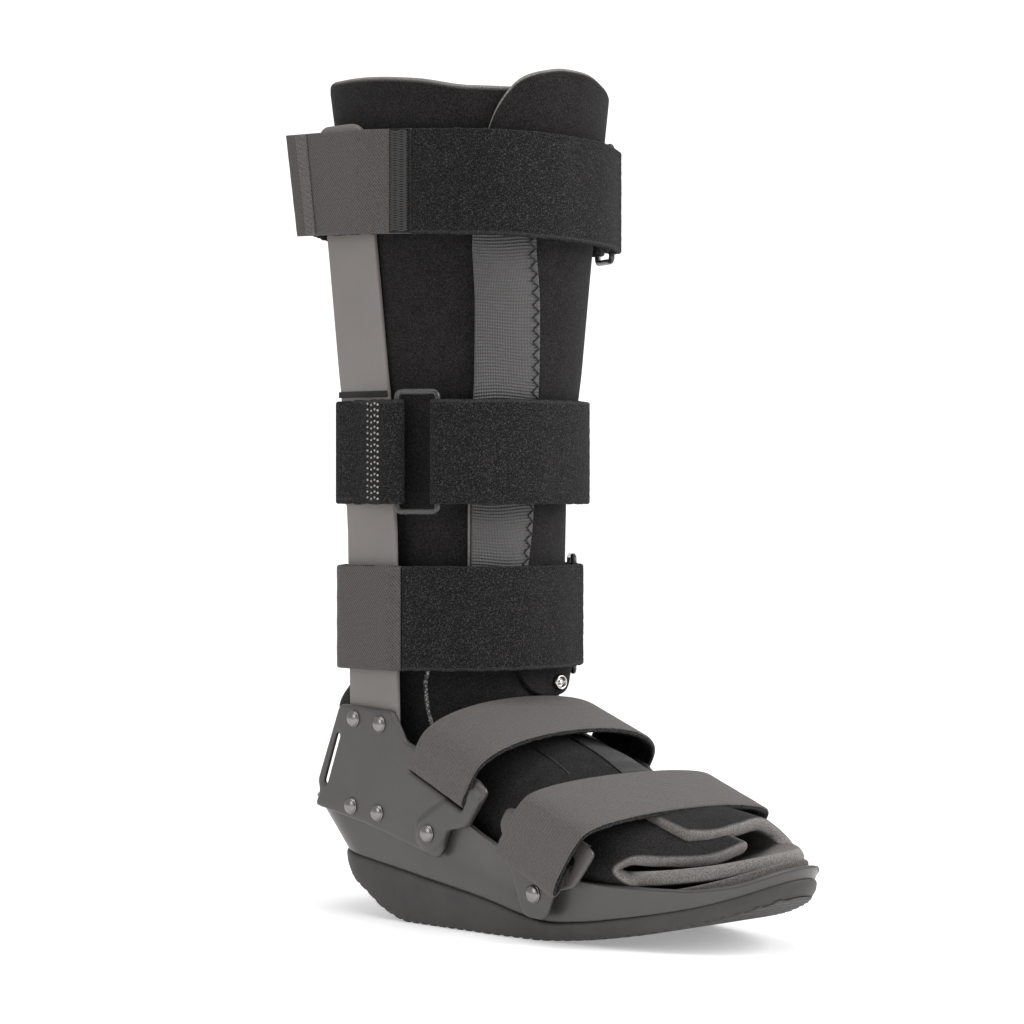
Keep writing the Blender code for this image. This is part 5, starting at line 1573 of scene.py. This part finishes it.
# Upright keepers. A dark tape is sewn across each upright just above the middle strap, where the cover that
# slides over the bar ends.
KEEPER_Z = 0.2575
KEEPER_HEIGHT = 0.0030
KEEPER_THICKNESS = 0.0009
KEEPER_MARGIN = 0.0004
dark_tape = woven("keeper_tape", (0.020, 0.019, 0.019), 0.0008, 0.0008)
for side, label in SIDES:
    outer_x, middle_y = upright_line(KEEPER_Z)
    ends = np.linspace(-0.5, 0.5, 30) * (UPRIGHT_WIDTH + 2 * KEEPER_MARGIN) * side
    path = np.column_stack([0 * ends + side * (outer_x + KEEPER_THICKNESS / 2 + 0.0001), middle_y - ends,
                            0 * ends + KEEPER_Z])
    keeper, _ = band("upright_keeper_" + label, path, np.broadcast_to(-UP, path.shape), KEEPER_HEIGHT,
                     KEEPER_THICKNESS, 0.0008, 12, smooth=0)
    keeper.data.materials.append(dark_tape)
    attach(keeper, "root")

# Pieces sewn on the liner's ankle and instep: a seam bead at the near ankle, whose glints of light are
# painted as pale specks in its colour, a ribbed elastic patch on the instep with a seam beside it, and a
# rounded tab on the shin whose end is held by a rolled steel rivet.
PATCH_THICKNESS = 0.0010
PATCH_ROWS = 260
PATCH_COLUMNS = 24
PATCH_WIDTH = 0.018
PATCH_TURNS = (0.02, 0.40)
PATCH_TOP_Z = 0.1060
SEAM_TURN = -0.42
SEAM_RADIUS = 0.0006
BEAD_TURN = -1.02
BEAD_TOP_Z = 0.1500
BEAD_LOW_Z = 0.0850
BEAD_RADIUS = 0.0011
TAB_TURNS = (-0.10, 0.78)
TAB_LOW_Z = 0.1075
TAB_TOP_Z = 0.1350
TAB_THICKNESS = 0.0026
TAB_LIFT = 0.0085
TAB_GAP = 0.0006
TAB_RIVET_TURN = 0.50
TAB_RIVET_Z = 0.1145
TAB_RIVET_RADIUS = 0.0040


def row_near(height, turn):
    """The liner grid's row whose point at a turn is closest to a height, in front of the heel."""
    column = int(round(turn / (2 * pi) * LINER_COLUMNS)) % LINER_COLUMNS
    return int(np.argmin(np.abs(outer[:, column, 2] - height)))


def on_liner(rows, turns, out):
    """Points on the liner's face at fractional rows and turns, a distance out from it."""
    column = (np.asarray(turns) / (2 * pi) * LINER_COLUMNS) % LINER_COLUMNS
    low_row, low_column = np.floor(rows).astype(int), np.floor(column).astype(int) % LINER_COLUMNS
    row_share, column_share = (rows - np.floor(rows))[..., None], (column - np.floor(column))[..., None]
    next_row, next_column = np.minimum(low_row + 1, len(outer) - 1), (low_column + 1) % LINER_COLUMNS
    lifted = outer + liner_out * np.asarray(out)
    near = lifted[low_row, low_column] * (1 - column_share) + lifted[low_row, next_column] * column_share
    far = lifted[next_row, low_column] * (1 - column_share) + lifted[next_row, next_column] * column_share
    return near * (1 - row_share) + far * row_share


liner_out = -normals_of(outer, around=True)
patch_rows = np.linspace(row_near(PATCH_TOP_Z, 0.2), len(outer) - 2, PATCH_ROWS)
across, across_rise = end_rounding(PATCH_COLUMNS, PATCH_WIDTH, PATCH_THICKNESS / 2)
patch_turn = PATCH_TURNS[0] + (PATCH_TURNS[1] - PATCH_TURNS[0]) * across
patch_grid = on_liner(*np.broadcast_arrays(patch_rows[:, None], patch_turn[None]), PATCH_THICKNESS / 2)
patch_rise = np.minimum(across_rise[None], end_rows(PATCH_ROWS))
patch_way = np.cumsum(np.linalg.norm(np.gradient(patch_grid[:, PATCH_COLUMNS // 2], axis=0), axis=1))
patch_ribs = np.broadcast_to(RIB_RISE * np.sin(2 * pi * patch_way / RIB_STEP)[:, None], patch_rise.shape)
patch_sheet, _ = two_sided(patch_grid, PATCH_THICKNESS, patch_rise, patch_ribs)
patch = surface("instep_mesh_patch", patch_sheet, around=True)
weld(patch)
patch.data.materials.append(knit("instep_mesh", (0.014, 0.0133, 0.0133), 0.0008, 0.0))
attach(patch, "root")
seam_rows = np.linspace(row_near(PATCH_TOP_Z, SEAM_TURN), len(outer) - 20, 90)
seam = cord("instep_seam", on_liner(seam_rows, 0 * seam_rows + SEAM_TURN, 0.0), SEAM_RADIUS)
seam.data.materials.append(thread)
bead_rows = np.linspace(row_near(BEAD_TOP_Z, BEAD_TURN), row_near(BEAD_LOW_Z, BEAD_TURN), 160)
bead = cord("ankle_seam_bead", on_liner(bead_rows, 0 * bead_rows + BEAD_TURN, 0.0), BEAD_RADIUS, sides=12)
bead_finish, bead_shader = finish("seam_bead", (0.05, 0.048, 0.047), 0.35)
where = node(bead_finish, "TexCoord").outputs["Object"]
# Painted glints: pale specks in the bead's colour stand for light sparkling off its thread; the same noise
# gives its bump.
glint_noise = noise(bead_finish, where, 1100.0, Detail=1.0)
painted_glints = two_tones(bead_finish, glint_noise, 0.50, 0.68, (0.02, 0.02, 0.02), (0.42, 0.40, 0.39))
tint(bead_finish, bead_shader, painted_glints)
bump(bead_finish, bead_shader, glint_noise, 0.0006, 1.0)
bead.data.materials.append(bead_finish)
for piece in (seam, bead):
    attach(piece, "root")

up, up_rise = end_rounding(26, 0.030, TAB_THICKNESS / 2)
over, over_rise = end_rounding(60, 0.040, TAB_THICKNESS / 2)
tab_turn = TAB_TURNS[0] + (TAB_TURNS[1] - TAB_TURNS[0]) * over
droop = np.sqrt(np.clip(1 - np.abs(2 * over - 1) ** 3, 0, 1))
tab_first, tab_last = row_near(TAB_TOP_Z, 0.4), row_near(TAB_LOW_Z, 0.4)
tab_rows = tab_first + (tab_last - tab_first) * up[:, None] * droop[None]
tab_lift = TAB_THICKNESS / 2 + TAB_GAP + TAB_LIFT * ramp(over, 0.45, 1.0)
tab_out = np.broadcast_to(tab_lift[None], (len(up), len(over)))
tab_flat = on_liner(*np.broadcast_arrays(tab_rows + 0.01, tab_turn[None]), 0.0)
tab_away = unit(on_liner(*np.broadcast_arrays(tab_rows + 0.01, tab_turn[None]), 0.001) - tab_flat)
tab_grid = tab_flat + tab_away * tab_out[..., None]
tab_sheet, _ = two_sided(tab_grid, TAB_THICKNESS, np.minimum(up_rise[:, None], over_rise[None]))
shin_tab = surface("shin_tab", tab_sheet, around=True)
weld(shin_tab)
shin_tab.data.materials.append(liner_finish)
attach(shin_tab, "root")
rivet_row = float(row_near(TAB_RIVET_Z, TAB_RIVET_TURN))
rivet_lift = TAB_LIFT * ramp((TAB_RIVET_TURN - TAB_TURNS[0]) / (TAB_TURNS[1] - TAB_TURNS[0]), 0.45, 1.0)
seat = on_liner(np.array([rivet_row]), np.array([TAB_RIVET_TURN]), TAB_THICKNESS + TAB_GAP + rivet_lift)[0]
facing = on_liner(np.array([rivet_row]), np.array([TAB_RIVET_TURN]),
                  TAB_THICKNESS + 0.0016 + rivet_lift)[0] - seat
facing = unit(unit(facing) + 0.9 * BACKWARDS)
seat = seat + 0.0010 * facing
beside = unit(np.cross(UP, facing))
above = np.cross(facing, beside)
#                          radius  out
ROLLED_RIVET = np.array(((0.02, 0.0012), (0.20, 0.0016), (0.30, 0.0010), (0.38, 0.0004), (0.52, 0.0006),
                         (0.66, 0.0016), (0.78, 0.0020), (0.90, 0.0017), (1.00, 0.0008), (1.00, -0.0004),
                         (0.02, -0.0004)))
swing = 2 * pi * np.arange(36) / 36
rolled = (seat + ROLLED_RIVET[:, None, 1:] * facing + TAB_RIVET_RADIUS * ROLLED_RIVET[:, None, :1]
          * (np.cos(swing)[None, :, None] * beside + np.sin(swing)[None, :, None] * above))
tab_rivet = surface("shin_tab_rivet", rolled, around=True)
weld(tab_rivet)
steel, _ = finish("bright_steel", (0.50, 0.49, 0.48), 0.24, Metallic=1.0)
tab_rivet.data.materials.append(steel)
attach(tab_rivet, "root")
